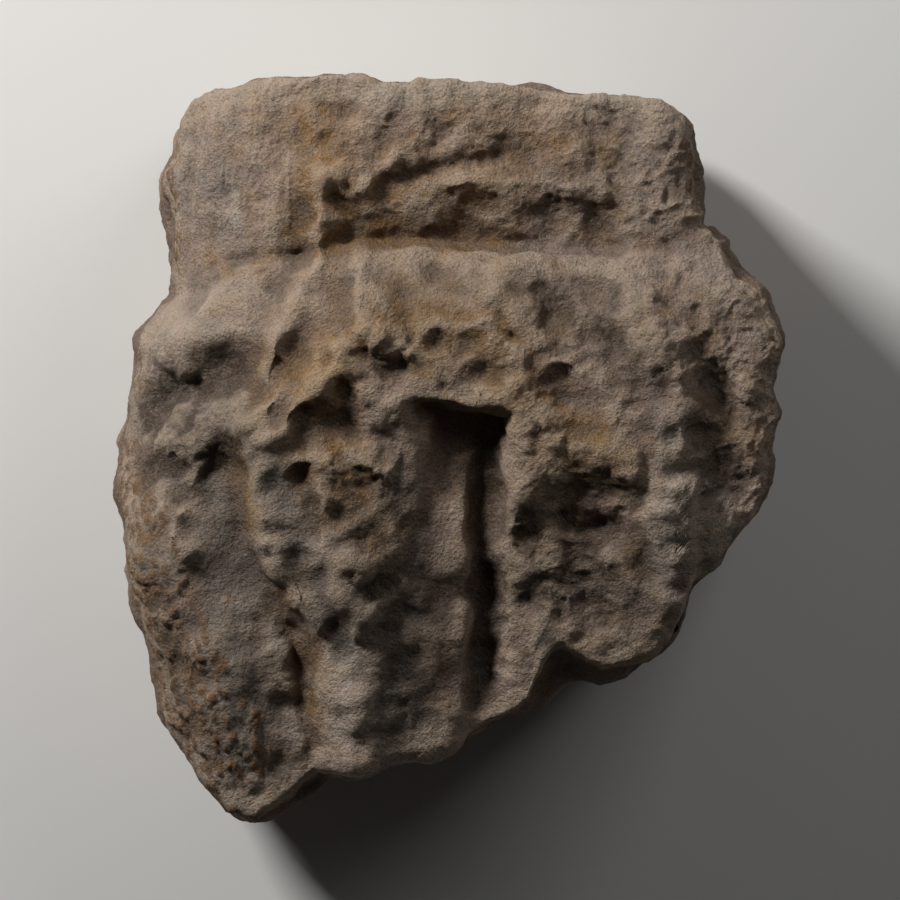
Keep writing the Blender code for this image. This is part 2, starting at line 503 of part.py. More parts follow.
def section(columns):
    """The section's shape at even steps round it: across from -1 to 1, deep from -1, back, to 1, front."""
    turn = np.linspace(0, 2 * np.pi, 6001)
    cosine, sine = np.cos(turn), np.sin(turn)
    in_front = sine > 0
    across_power = np.where(in_front, 2 / FRONT_ROUND_ACROSS, 2 / BACK_SQUARE)
    deep_power = np.where(in_front, 2 / FRONT_ROUND_DEEP, 2 / BACK_SQUARE)
    across = np.sign(cosine) * np.abs(cosine) ** across_power
    deep = np.sign(sine) * np.abs(sine) ** deep_power
    reach = np.where(in_front, DEPTH - SIDE_LINE, SIDE_LINE)
    length = np.hypot(np.diff(across) * BODY_WIDTH / 2, np.diff(deep) * reach[1:])
    gone = np.concatenate([[0], np.cumsum(length)])
    stops = np.linspace(0, gone[-1], columns, endpoint=False)
    return np.interp(stops, gone, across), np.interp(stops, gone, deep)


def side_rows(columns, rows):
    """The sides as rows of points from the break to the bed, with the carving but without the roughness."""
    across, deep = section(columns)
    share = np.linspace(0, 1, rows)[:, None]
    x = across * BODY_WIDTH / 2 + 0 * share
    for _ in range(SETTLING_PASSES):
        grid = x / ACROSS
        start = along_of(break_up(grid, deep))
        end = along_of(bed_up(grid, deep))
        y = start + (end - start) * share
        left, right = outline(up_of(y))
        edge = np.clip(np.minimum(y - start, end - y), 0, EDGE_WEAR)
        worn = EDGE_WEAR - np.sqrt(EDGE_WEAR ** 2 - (EDGE_WEAR - edge) ** 2)
        x = 0.4 * x + 0.6 * ((left + right) / 2 + across * ((right - left) / 2 - worn))
    up = up_of(y)
    front = front_height(grid, up) - SIDE_LINE - worn
    back = SIDE_LINE * BACK_BULGE - worn
    z = SIDE_LINE + np.where(deep > 0, fuller(deep, grid, up) * front, deep * back)
    facing = step(deep, 0.1, 0.45)
    z = z + relief(x / ACROSS, up) * facing
    return np.stack([x, y, z], axis=-1), across, deep


def cap_rows(edge, across, deep, rings, height_at, level):
    """Rings from an end's edge in to its middle: the edge shrunk to a point, at the height of the end."""
    share = (np.arange(1, rings + 1) / (rings + 1))[:, None]
    middle = np.array([np.mean(edge[:, 0]), 0, DEPTH * 0.45])
    ring = edge + (middle - edge) * share[..., None]
    deep_here = deep * (1 - share)
    inside = along_of(height_at(ring[..., 0] / ACROSS, deep_here))
    at_edge = along_of(height_at(edge[:, 0] / ACROSS, deep))
    y = inside + (edge[:, 1] - at_edge) * (1 - share) ** 2
    if level is not None:
        y = y + (np.minimum(y, level) - y) * step(share, 0.08, 0.3)
    ring[..., 1] = y
    return ring


def skin_normals(points):
    """Outward unit normals of a closed sheet of rings, from the steps to its neighbours in each direction."""
    up = np.gradient(points, axis=0)
    round_about = (np.roll(points, -1, axis=1) - np.roll(points, 1, axis=1)) / 2
    normal = np.cross(up, round_about)
    return normal / np.maximum(np.linalg.norm(normal, axis=-1, keepdims=True), 1e-12)


def stone_skin(columns, rows, cap_rings):
    """All rings of the stone's skin, from the middle of the break to the middle of the bed."""
    sides, across, deep = side_rows(columns, rows)
    bed_level = HEIGHT - BED_DIP
    low = cap_rows(sides[0], across, deep, cap_rings, break_up, None)[::-1]
    high = cap_rows(sides[-1], across, deep, cap_rings, bed_up, bed_level)
    rings = np.concatenate([low, sides, high])
    flat = np.zeros(len(rings))
    flat[-cap_rings:] = step(np.arange(cap_rings) / cap_rings, 0.15, 0.4)
    rough = roughness(rings, flat[:, None])
    rings = rings + skin_normals(rings) * rough[..., None]
    rings[..., 2] = np.maximum(rings[..., 2], 0)
    return rings


def roughness(rings, flat):
    """How far weathering and breakage move each point out or in, in metres."""
    on_back = 1 - step(rings[..., 2], SIDE_LINE * 0.1, SIDE_LINE * 0.6)
    broad = layered_noise(rings, BROAD_SIZE, 2, seed=11) * BROAD_RISE
    lumps = layered_noise(rings, LUMP_SIZE, 2, seed=21) * LUMP_RISE
    from_middle = np.hypot(rings[..., 0], rings[..., 1] - HEIGHT / 2)
    hollow = np.maximum(layered_noise(rings, BACK_SIZE, 3, seed=31) + 0.1, 0)
    hollow = hollow * step(from_middle, REST_PATCH, 2 * REST_PATCH)
    return (broad + lumps) * (1 - flat) * (1 - on_back) - BACK_HOLLOW * hollow * on_back


def closed_mesh(name, rings):
    """A mesh of quads between neighbouring rings, with a fan of triangles to a point at either end."""
    count, columns, _ = rings.shape
    ends = [rings[0].mean(axis=0), rings[-1].mean(axis=0)]
    points = np.concatenate([rings.reshape(-1, 3), ends])
    row, column = np.meshgrid(np.arange(count - 1), np.arange(columns), indexing="ij")
    ahead = (column + 1) % columns
    quads = np.stack([row * columns + column, (row + 1) * columns + column, (row + 1) * columns + ahead,
                      row * columns + ahead], axis=-1).reshape(-1, 4)
    here = np.arange(columns)
    there = (here + 1) % columns
    first, last = count * columns, count * columns + 1
    low_fan = np.stack([here, there, np.full(columns, first)], axis=-1)
    high_fan = np.stack([there, here, np.full(columns, last)], axis=-1)
    high_fan[:, :2] += (count - 1) * columns
    mesh = bpy.data.meshes.new(name)
    mesh.from_pydata(points.tolist(), [], quads.tolist() + low_fan.tolist() + high_fan.tolist())
    mesh.shade_smooth()
    return mesh


def centred(rings):
    """The rings moved so that the stone rests on z = 0 with the middle of its box over the origin."""
    low, high = rings.min(axis=(0, 1)), rings.max(axis=(0, 1))
    return rings - [(low[0] + high[0]) / 2, (low[1] + high[1]) / 2, 0]


def weathered_limestone():
    """Warm buff limestone, dull and granular."""
    material = bpy.data.materials.new("weathered_limestone")
    material.use_nodes = True
    shader = material.node_tree.nodes["Principled BSDF"]
    shader.inputs["Base Color"].default_value = (0.42, 0.33, 0.24, 1)
    shader.inputs["Roughness"].default_value = 0.95
    shader.inputs["Metallic"].default_value = 0
    return material


def build():
    for thing in list(bpy.data.objects):
        bpy.data.objects.remove(thing)
    rings = centred(stone_skin(COLUMNS, ROWS, CAP_RINGS))
    mesh = closed_mesh("column_section", rings)
    mesh.materials.append(weathered_limestone())
    stone = bpy.data.objects.new("column_section", mesh)
    bpy.context.collection.objects.link(stone)
    all_triangles = 2 * COLUMNS * len(rings)
    thin = stone.modifiers.new("fewer_triangles", "DECIMATE")
    thin.ratio = SOLID_TRIANGLES / all_triangles


build()
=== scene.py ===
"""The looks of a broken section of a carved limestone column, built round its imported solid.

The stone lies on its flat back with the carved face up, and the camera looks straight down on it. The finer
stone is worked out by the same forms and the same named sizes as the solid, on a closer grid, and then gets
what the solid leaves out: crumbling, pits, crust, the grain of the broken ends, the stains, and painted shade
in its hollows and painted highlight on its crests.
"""

import bpy
import numpy as np
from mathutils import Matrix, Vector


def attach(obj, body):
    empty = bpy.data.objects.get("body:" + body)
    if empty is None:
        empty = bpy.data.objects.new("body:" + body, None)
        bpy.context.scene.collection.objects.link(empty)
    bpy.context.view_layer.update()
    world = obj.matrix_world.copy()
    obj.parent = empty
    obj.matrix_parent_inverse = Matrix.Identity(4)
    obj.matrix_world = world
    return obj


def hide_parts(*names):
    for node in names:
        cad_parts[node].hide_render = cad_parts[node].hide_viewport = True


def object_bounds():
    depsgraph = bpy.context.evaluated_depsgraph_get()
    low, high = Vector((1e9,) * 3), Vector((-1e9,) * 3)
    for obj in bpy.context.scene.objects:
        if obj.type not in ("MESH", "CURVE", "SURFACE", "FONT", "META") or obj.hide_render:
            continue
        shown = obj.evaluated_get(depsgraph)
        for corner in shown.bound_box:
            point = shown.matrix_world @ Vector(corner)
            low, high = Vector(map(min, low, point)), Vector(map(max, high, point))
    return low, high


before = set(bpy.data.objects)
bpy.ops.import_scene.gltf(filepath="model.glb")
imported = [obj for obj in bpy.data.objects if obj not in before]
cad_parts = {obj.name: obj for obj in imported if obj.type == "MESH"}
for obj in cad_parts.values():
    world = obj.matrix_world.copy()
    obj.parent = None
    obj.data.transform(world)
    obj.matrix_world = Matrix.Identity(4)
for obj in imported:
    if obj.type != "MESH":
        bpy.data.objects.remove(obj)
CAD_LOW, CAD_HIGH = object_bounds()

# The stone's own sizes, in metres, the same as its solid's.
HEIGHT = 0.302              # along the column, from the tip of the break to the top of the band
BODY_WIDTH = 0.271          # across the swelling body
BAND_WIDTH = 0.217          # across the plain band
BAND_HEIGHT = 0.072         # from the sunk crease to the top of the band
BAND_SHIFT = -0.0055        # the band's middle lies this far to the right of the body's
DEPTH = 0.168               # from the flat back to the foremost lobe
BAND_SETBACK = 0.023        # the band's face lies this far behind the foremost lobe
SIDE_LINE = 0.046           # the stone is widest at this height above its back
CREASE_DEPTH = 0.004        # the sunk line between the band and the body
RECESS_DEPTH = 0.008        # how much further the square top of the hollow between the lobes is sunk
CHANNEL_DEPTH = 0.009       # the channel that runs down between the two middle lobes
SLOT_DEPTH = 0.006          # the narrow slot in the channel's bottom
FLUTE_DEPTH = 0.015         # the round-topped flute on the left
SIDE_DROP = 0.0025          # the plane to the right of the right lobe lies this far back
BAND_LEAN = 0.005           # the band's face leans back this much towards its top
BAND_UNDERCUT = 0.007       # the broken middle of the band falls back this far towards the crease
REST_PATCH = 0.022          # radius of the flat left in the middle of the back, on which the stone rests
EDGE_WEAR = 0.004           # radius of the worn edges round the bed and the break
BACK_HOLLOW = 0.011         # the deepest hollows in the split back
BED_DIP = 0.0079            # the dressed middle of the top bed lies this far under its broken edge
# The carving's own grid: hundredths of the height up from the tip, and as many across from the middle.
CREASE_UP = 76.2
BODY_SPAN = 89.7
ACROSS = BODY_WIDTH / BODY_SPAN
RISE = HEIGHT / 100

# How round the section is: 2 is a circle, and more is squarer.
FRONT_ROUND_ACROSS = 2.9
FRONT_ROUND_DEEP = 1.9
BACK_SQUARE = 4.6
# Where the front is flatter, its depth is raised to a power of 1 less these, never less than the last one.
TOP_SQUARER = 0.42
LOW_LEFT_SQUARER = 0.72
RIGHT_SQUARER = 0.95
LEAST_POWER = 0.06

BACK_BULGE = 1.08           # the back's corners swell this much past the resting plane before it cuts them

# A crest is rounded over this share of its narrower flank.
CREST_ROUNDING = 0.5
# Weather makes the carved lines wander: how far and over what size, in hundredths of the height, and by
# what share their strength comes and goes.
WANDER = 0.5
WANDER_SIZE = 5.0
FADING = 0.35
FADING_SIZE = 3.0
# The dents are worn shallower, to this share of their first fall.
DENT_SHARE = 0.2
# Width of the sunk crease, and how much further back the broken end lies at the flat back.
CREASE_WIDTH = 1.5
BREAK_SLANT = 5.0
# Roughness of the broken and weathered skin, in metres: the size of its swells and how far they rise.
BROAD_SIZE = 0.040
BROAD_RISE = 0.0030
LUMP_SIZE = 0.016
LUMP_RISE = 0.0018
BACK_SIZE = 0.055
# Mesh density of the finer stone. The back is hardly seen, and gets this share of its columns.
COLUMNS = 860
ROWS = 440
CAP_RINGS = 44
CAP_MIDDLE = 0.45               # the ends' rings close in on this share of the depth
BACK_SHARE = 0.4
BACK_BEGINS = -0.6              # on the section, where 0 is the widest line and -1 the flat back
# The mesh is thinned to this many triangles, which may push a point out this far, in metres.
STONE_TRIANGLES = 196000
THINNING_PUSH = 0.00008

# The ends slant, so how far along a point lies depends on how far across it lies, and the other way round.
# The two are worked out in turn this many times, by when they no longer move.
SETTLING_PASSES = 12

# How rough the finer skin is where nothing else is marked, the least and the most it can be, and how much
# of that the dressed bed is spared.
USUAL_ROUGHNESS = 0.55
LEAST_ROUGHNESS = 0.15
MOST_ROUGHNESS = 1.5
BED_SPARED = 0.8
# The finer skin, in metres: the size of each kind of mark and how far it rises or sinks.
CRUMB_SIZE = 0.0050
CRUMB_RISE = 0.00055
FLAKE_SIZE = 0.0085
FLAKE_RISE = 0.00085
FLAKE_LONG = 1.25               # the stone breaks in ledges along its bed, this much wider than high
GRIT_SIZE = 0.0024
GRIT_RISE = 0.00020
EVEN_GRIT = 0.6                 # this share of the grit is the same all over
BEND_SIZE = 0.011
BEND_REACH = 0.0022             # the marks' own pattern is bent aside this far, so that it isn't even
PIT_SIZE = 0.0050
PIT_DEPTH = 0.0008
PIT_SHARE = 0.12                # of the places that could have a pit
PIT_FROM = 0.35                 # pits come where the skin is rougher than this
PINHOLE_SIZE = 0.0030
PINHOLE_DEPTH = 0.0005
PINHOLE_SHARE = 0.15
PINHOLE_FROM = 0.1
LEAST_BOWL = 0.25               # the smallest pit's radius, over its kind's size
BOWL_SPREAD = 0.30              # and how much more the largest one's is
BEAD_SIZE = 0.0038
BEAD_RISE = 0.0011
BEAD_LONG = 1.7                 # the beads have run down the stone, and are this much longer than wide
LEAST_BEAD = 0.38
SCRATCH_WIDTH = 0.0016
SCRATCH_LONG = 9                # each scratch is this many times as long as it is wide
SCRATCH_DEPTH = 0.00045
# A point is in a hollow or on a crest by how far it lies under or over the mean of this many points each way,
# and the painted shade in the hollows and the painted highlight on the crests are full at these distances, in
# metres.
EVEN_REACH = 9
FULL_PAINTED_SHADE = 0.0012
FULL_PAINTED_HIGHLIGHT = 0.0010
NORMAL_REACH = 3                # the fine marks rise square to the skin as smoothed over this many points

# Outlines as the stone is seen from straight in front. Sides are (up, across), in hundredths of the
# body's or the band's own width from its middle, and ends are (across, up).
BODY_LEFT = [(0, -38.5), (10, -41.2), (20.5, -43.7), (30.5, -47.0), (38.4, -47.9), (44.4, -49.7),
             (50.3, -50.0), (54.3, -48.4), (59.3, -47.1), (64.2, -46.7), (68.2, -43.8), (71, -41.6),
             (76.2, -42.0)]
BODY_RIGHT = [(0, 37.5), (18, 40.0), (36.4, 42.3), (40.4, 44.6), (44.4, 47.0), (48, 48.2), (52, 48.0),
              (54.3, 49.1), (57, 47.9), (60, 48.6), (64.2, 50.0), (68.2, 48.6), (72.2, 45.3), (76.2, 41.7)]
BAND_LEFT = [(70, -50.0), (76.2, -50.0), (82, -50.0), (86, -50.6), (90, -49.0), (95, -48.0), (100, -46.5)]
BAND_RIGHT = [(70, 50.0), (76.2, 49.9), (82, 50.0), (86, 49.3), (90.1, 48.3), (94, 46.6), (100, 44.0)]
TOP_EDGE = [(-40, 92.5), (-36, 94.2), (-33.5, 96.0), (-29.6, 97.9), (-22.5, 99.1), (-16, 100), (-12, 99.6),
            (-7.5, 98.3), (-3, 98.8), (5.4, 98.7), (13.3, 97.3), (23.2, 96.2), (28, 95.2), (31, 93.6),
            (36, 91)]
BREAK_EDGE = [(-44, 22.0), (-36, 9.6), (-32.5, 4.8), (-29.2, 1.2), (-26, 0), (-21.1, 2.1), (-12.9, 6.1),
              (-3.6, 8.5), (1.5, 9.8), (5, 12.6), (12, 15.2), (15.4, 18.5), (21.5, 18.9), (27.7, 22.9),
              (30.5, 26.2), (32.2, 30.4), (35.5, 33.6), (37.8, 38), (43, 44)]
CREASE = [(-38, 70.6), (-29.1, 74.4), (-17.2, 75.8), (-6.6, 76.4), (6.7, 76.0), (19.9, 75.2), (27, 76.4),
          (33.2, 78.4)]
CREASE_STRENGTH = [(-38, 0.0), (-24, 0.15), (-17, 0.7), (6, 0.8), (14, 0.5), (22, 0.2), (34, 0.1)]
# How far the front stands out of the back, as a share of the depth, up the body.
BODY_SWELL = [(0, 0.76), (15, 0.815), (30, 0.87), (45, 0.925), (58, 0.955), (66, 0.945), (71, 0.915),
              (74, 0.885), (76.2, 0.86), (80, 0.83)]

# The flute: its right edge as (up, across) and its round top as (across, up).
FLUTE_RIGHT = [(0, -14.5), (12, -16), (23.4, -18.0), (26.8, -19.5), (31.7, -22.2), (38.3, -25.6),
               (44.6, -26.6), (49.9, -27.4), (56, -28.5)]
FLUTE_TOP = [(-46, 41), (-39, 44), (-35.5, 47.5), (-33, 50.6), (-30.5, 52.4), (-27.5, 52.6), (-25.5, 51),
             (-23, 46)]
# The edge of the right lobe, as (up, across), outside which the side plane lies back.
LOBE_EDGE = [(20, 31.4), (31.5, 31.3), (49.1, 31.5), (55.5, 31.1), (62.3, 29.4), (67.7, 27.2), (71, 25.6),
             (76, 24.5)]

# The recess: walls as (up, across) and its top as (across, up).
RECESS_LEFT = [(36, 0.2), (45, -1.0), (50, -1.8), (56, -3.2)]
RECESS_SHELF = [(36, -3.4), (45, -3.6), (56, -4.4)]
RECESS_RIGHT = [(36, 7.6), (45, 7.5), (50, 7.9), (56, 8.9)]
RECESS_TOP = [(-6, 56.6), (-2, 56.0), (3, 55.2), (9, 54.8)]
RECESS_FOOT = 41.0
# The channel's lowest line as (up, across), and how narrow it is on its left and right at each height.
CHANNEL_LINE = [(0, 4.2), (30, 4.2), (40, 4.3), (48, 5.2), (56, 6.2)]
CHANNEL_LEFT = [(0, 1.0), (25, 1.0), (45, 0.78), (56, 0.68)]
CHANNEL_RIGHT = [(0, 1.0), (30, 0.9), (42, 0.55), (56, 0.32)]
# Its section as (aside from that line, share of its depth).
CHANNEL_SECTION = [(-18, 0), (-15.5, 0.07), (-12.5, 0.27), (-9, 0.52), (-5.5, 0.72), (-2.5, 0.85),
                   (-0.8, 1), (1.2, 1), (2.6, 0.85), (5.5, 0.50), (9, 0.10), (13, 0)]


def smooth_through(value, points):
    """A smooth curve through (place, height) points: cubic pieces with the slopes of the neighbours."""
    place, height = np.array(points, float).T
    slope = np.gradient(height, place)
    index = np.clip(np.searchsorted(place, value) - 1, 0, len(place) - 2)
    span = place[index + 1] - place[index]
    share = np.clip((value - place[index]) / span, 0, 1)
    rest = 1 - share
    return (height[index] * rest * rest * (1 + 2 * share) + height[index + 1] * share * share * (1 + 2 * rest)
            + span * share * rest * (slope[index] * rest - slope[index + 1] * share))


def step(value, start, end):
    """Nought before start, one after end, and an even S-curve between."""
    share = np.clip((value - start) / (end - start), 0, 1)
    return share * share * (3 - 2 * share)


def noise(points, size, seed):
    """Gradient noise of about -1 to 1: random slopes at the corners of cubes of this size, blended."""
    cells = 32
    slopes = np.random.default_rng(seed).normal(size=(cells, cells, cells, 3))
    place = points / size
    corner = np.floor(place).astype(int)
    inside = place - corner
    blend = inside ** 3 * (inside * (inside * 6 - 15) + 10)
    total = np.zeros(points.shape[:-1])
    for offset in np.ndindex(2, 2, 2):
        at = (corner + offset) % cells
        slope = slopes[at[..., 0], at[..., 1], at[..., 2]]
        weight = np.prod(np.where(offset, blend, 1 - blend), axis=-1)
        total += weight * np.sum(slope * (inside - offset), axis=-1)
    return total


def layered_noise(points, size, layers, seed):
    """Noise on noise: each layer is half as large and half as strong as the one before."""
    return sum(noise(points, size / 2 ** layer, seed + layer) / 2 ** layer for layer in range(layers))


def stroke(across, up, path, width, rise):
    """A raised or sunk mark along a path: its rise times exp(-(distance / width) squared)."""
    path = np.array(path, float)
    nearest = np.full(across.shape, np.inf)
    ends = zip(path, path[1:]) if len(path) > 1 else [(path[0], path[0])]
    for start, end in ends:
        along = end - start
        length = max(float(along @ along), 1e-9)
        share = np.clip(((across - start[0]) * along[0] + (up - start[1]) * along[1]) / length, 0, 1)
        gap = (across - start[0] - share * along[0]) ** 2 + (up - start[1] - share * along[1]) ** 2
        nearest = np.minimum(nearest, gap)
    return rise * np.exp(-nearest / width ** 2)


def spine(across, up, path, left, right, rise):
    """A crest along a path: its rise times exp(-distance / width), with a width of its own on each side."""
    path = np.array(path, float)
    nearest = np.full(across.shape, np.inf)
    side = np.zeros(across.shape)
    for start, end in zip(path, path[1:]):
        along = end - start
        share = np.clip(((across - start[0]) * along[0] + (up - start[1]) * along[1]) / (along @ along), 0, 1)
        off_across = across - start[0] - share * along[0]
        off_up = up - start[1] - share * along[1]
        gap = off_across ** 2 + off_up ** 2
        turn = (along[0] * off_up - along[1] * off_across) / np.sqrt(along @ along)
        side = np.where(gap < nearest, turn, side)
        nearest = np.minimum(nearest, gap)
    distance = np.sqrt(nearest)
    leftward = 0.5 + 0.5 * np.clip(side / np.maximum(distance, 1e-6), -1, 1)
    width = right + (left - right) * leftward
    rounding = min(left, right) * CREST_ROUNDING
    return rise * np.exp((rounding - np.sqrt(nearest + rounding ** 2)) / width)


def ridged_noise(points, size, layers, seed):
    """Sharp crests between rounded hollows: each layer is one less twice the size of plain noise."""
    return sum((0.5 - 2 * np.abs(noise(points, size / 2 ** layer, seed + layer))) / 2 ** layer
               for layer in range(layers))


def nearest_seed(points, size, seed):
    """Distance, in sizes, to the nearest of the seeds strewn one to a cube of this size, and its number."""
    cells = 64
    table = np.random.default_rng(seed).random((cells, cells, cells, 4))
    place = points / size
    corner = np.floor(place).astype(int)
    nearest = np.full(points.shape[:-1], np.inf)
    number = np.zeros(points.shape[:-1])
    for offset in np.ndindex(3, 3, 3):
        cell = corner + np.array(offset) - 1
        at = cell % cells
        drawn = table[at[..., 0], at[..., 1], at[..., 2]]
        gap = np.sum((cell + drawn[..., :3] - place) ** 2, axis=-1)
        number = np.where(gap < nearest, drawn[..., 3], number)
        nearest = np.minimum(nearest, gap)
    return np.sqrt(nearest), number


def bowls(points, size, share, seed, least=LEAST_BOWL):
    """Round hollows, 0 to 1 deep, at this share of seeds: 1 less the distance over the radius, squared."""
    distance, number = nearest_seed(points, size, seed)
    radius = least + BOWL_SPREAD * number / share
    return np.where(number < share, np.clip(1 - (distance / radius) ** 2, 0, 1), 0)


def blurred(field, reach):
    """The mean of a field over this many points each way, taken twice, around the rings and along them."""
    for _ in range(2):
        for axis in (0, 1):
            edge = "wrap" if axis else "edge"
            pad = [(0, 0), (0, 0)]
            pad[axis] = (reach + 1, reach)
            total = np.cumsum(np.pad(field, pad, mode=edge), axis=axis)
            span = 2 * reach + 1
            field = (np.take(total, range(span, total.shape[axis]), axis=axis)
                     - np.take(total, range(total.shape[axis] - span), axis=axis)) / span
    return field


# The carving and the damage, all in hundredths of the stone's height. A swell is a broad rounded form: a path
# of (across, up) places, a width and a rise.
SWELLS = [
    # the shoulder left of the folds, and the two folds with their valleys
    ([(-35.7, 65.3), (-28.4, 63.3)], 6.0, 1.6),
    ([(-19.8, 74.2), (-22.2, 70.6), (-24, 67), (-25.8, 63), (-26.8, 58.3)], 2.2, -1.0),
    ([(-13.8, 69.9), (-18.2, 64.4), (-21.1, 60), (-21.9, 56.4)], 2.6, -0.6),
    # the dished top of the body between the folds and the right lobe
    ([(-5.9, 71), (-1.3, 71.3), (2.7, 69.9)], 2.6, -0.8),
    ([(-1.3, 73.1)], 1.8, -0.8),
    # the knob and the hollows round it
    ([(-8.7, 64)], 1.2, 0.9),
    ([(-10.3, 61.7), (-7.6, 60.1)], 1.9, -1.3),
    ([(-5.1, 60.1)], 1.3, -0.6),
    ([(-1.3, 63.6), (2.7, 63.3)], 1.8, -0.8),
    ([(8.8, 64.2)], 1.5, -0.7),
    ([(4.7, 59.6), (7.4, 57.7)], 1.6, -0.7),
    # the dark hollow to the right of the left lobe's upper crest
    ([(-17.7, 52.2), (-13.4, 53)], 3.0, -1.7),
    ([(-11.2, 51.4), (-7.9, 51.1)], 1.8, -0.8),
    ([(-18.5, 49.4), (-18.2, 46.1)], 1.6, -0.35),
    ([(-23.1, 46.1)], 1.4, -0.3),
    # the niche over the flute, and the hollow at its left
    ([(-28.8, 60.7), (-32, 58.8), (-35.4, 56.4)], 3.4, -3.8),
    ([(-38.3, 53.4)], 2.0, -0.9),
    ([(-37, 46.9), (-39.4, 46.1)], 2.6, -1.8),
    ([(-34.6, 53.2), (-31.5, 54.3), (-28, 54)], 1.9, 0.6),
    ([(-37.3, 50.6)], 1.6, 1.0),
    # the left rim beside the flute
    ([(-41, 50.1), (-39.7, 40.8)], 4.0, 0.8),
    ([(-35, 36.6)], 1.8, 0.8),
    # the flank of the left lobe
    ([(-15.2, 31.5), (-14.5, 26.9)], 1.7, -0.3),
    ([(-15.8, 42.8), (-16.5, 36.8)], 1.6, 0.6),
    # the right lobe's grooves, hollows and swelling
    ([(12, 70.2), (13, 67.5)], 1.5, -0.7),
    ([(13.6, 66.1), (17.9, 64.9), (22.1, 63.3)], 2.0, -0.9),
    ([(17.3, 71.3), (19.9, 69.4)], 1.5, -0.7),
    ([(15.2, 68.3)], 1.8, -0.8),
    ([(22.3, 61.2), (24.2, 57.5)], 2.8, -1.3),
    ([(26.6, 69.9), (25.2, 65.3), (27.2, 60.7)], 3.0, 1.0),
    ([(9.3, 57.4), (14.6, 53.4)], 3.5, 0.6),
    ([(15, 49), (17, 47.2)], 1.7, -0.8),
    ([(17.9, 44.5)], 1.6, -0.7),
    ([(21, 45.6), (25.2, 43.4)], 2.0, -0.6),
    ([(11.3, 39.7), (10.7, 37.5)], 2.3, -1.0),
    ([(21, 39.5), (21.8, 32.8), (19.9, 26.9)], 5.5, -1.8),
    ([(9.3, 46.1), (10, 35.5)], 3.5, 0.8),
    ([(10.4, 29.4)], 1.3, -0.6),
    ([(28.9, 43.4), (28.9, 27.5)], 2.6, 1.0),
    # the plane on the far right
    ([(34.8, 57.7), (38.2, 54.3)], 2.6, -1.3),
    ([(34.2, 49.8), (37.4, 47.4)], 2.6, -1.2),
    ([(39.1, 57.4), (39.8, 47.4)], 2.0, 1.2),
    ([(36.5, 40.8)], 4.0, 1.0),
    ([(37.8, 64.6)], 2.0, -0.6),
    ([(38.2, 71.9)], 4.0, 0.8),
    # the band
    ([(-14.5, 98)], 2.4, -0.6),
    ([(-17.4, 91.1), (-13.8, 93.8)], 2.0, -0.6),
    ([(-13.2, 88.7)], 1.2, -0.5),
    ([(-19.8, 80.3), (-19.4, 75.5)], 1.8, -0.8),
    ([(-7.6, 84.6), (-3.2, 86.1), (1.4, 87), (6, 87.7)], 1.7, -1.3),
    ([(8.7, 87.7), (10, 86.9)], 1.4, -0.6),
    ([(-1.3, 90.9), (0.7, 91.4)], 1.4, -0.6),
    ([(16, 82.5), (19.9, 78.5)], 3.0, -0.9),
    ([(22.8, 92.5), (24.6, 90.5), (23.2, 87.8)], 1.5, -0.7),
    ([(28.5, 95.1), (29.2, 80.5)], 4.0, 0.6),
    ([(2.7, 94.4), (14.6, 91.8)], 3.0, 0.8),
    # the foot of the left lobe and the floor of the channel
    ([(-1.3, 18.3), (0.7, 13)], 2.2, 0.7),
    ([(-6.6, 16.3)], 1.6, -0.7),
    ([(-5.5, 28.6), (-3.4, 27.5)], 0.9, -0.4),
]
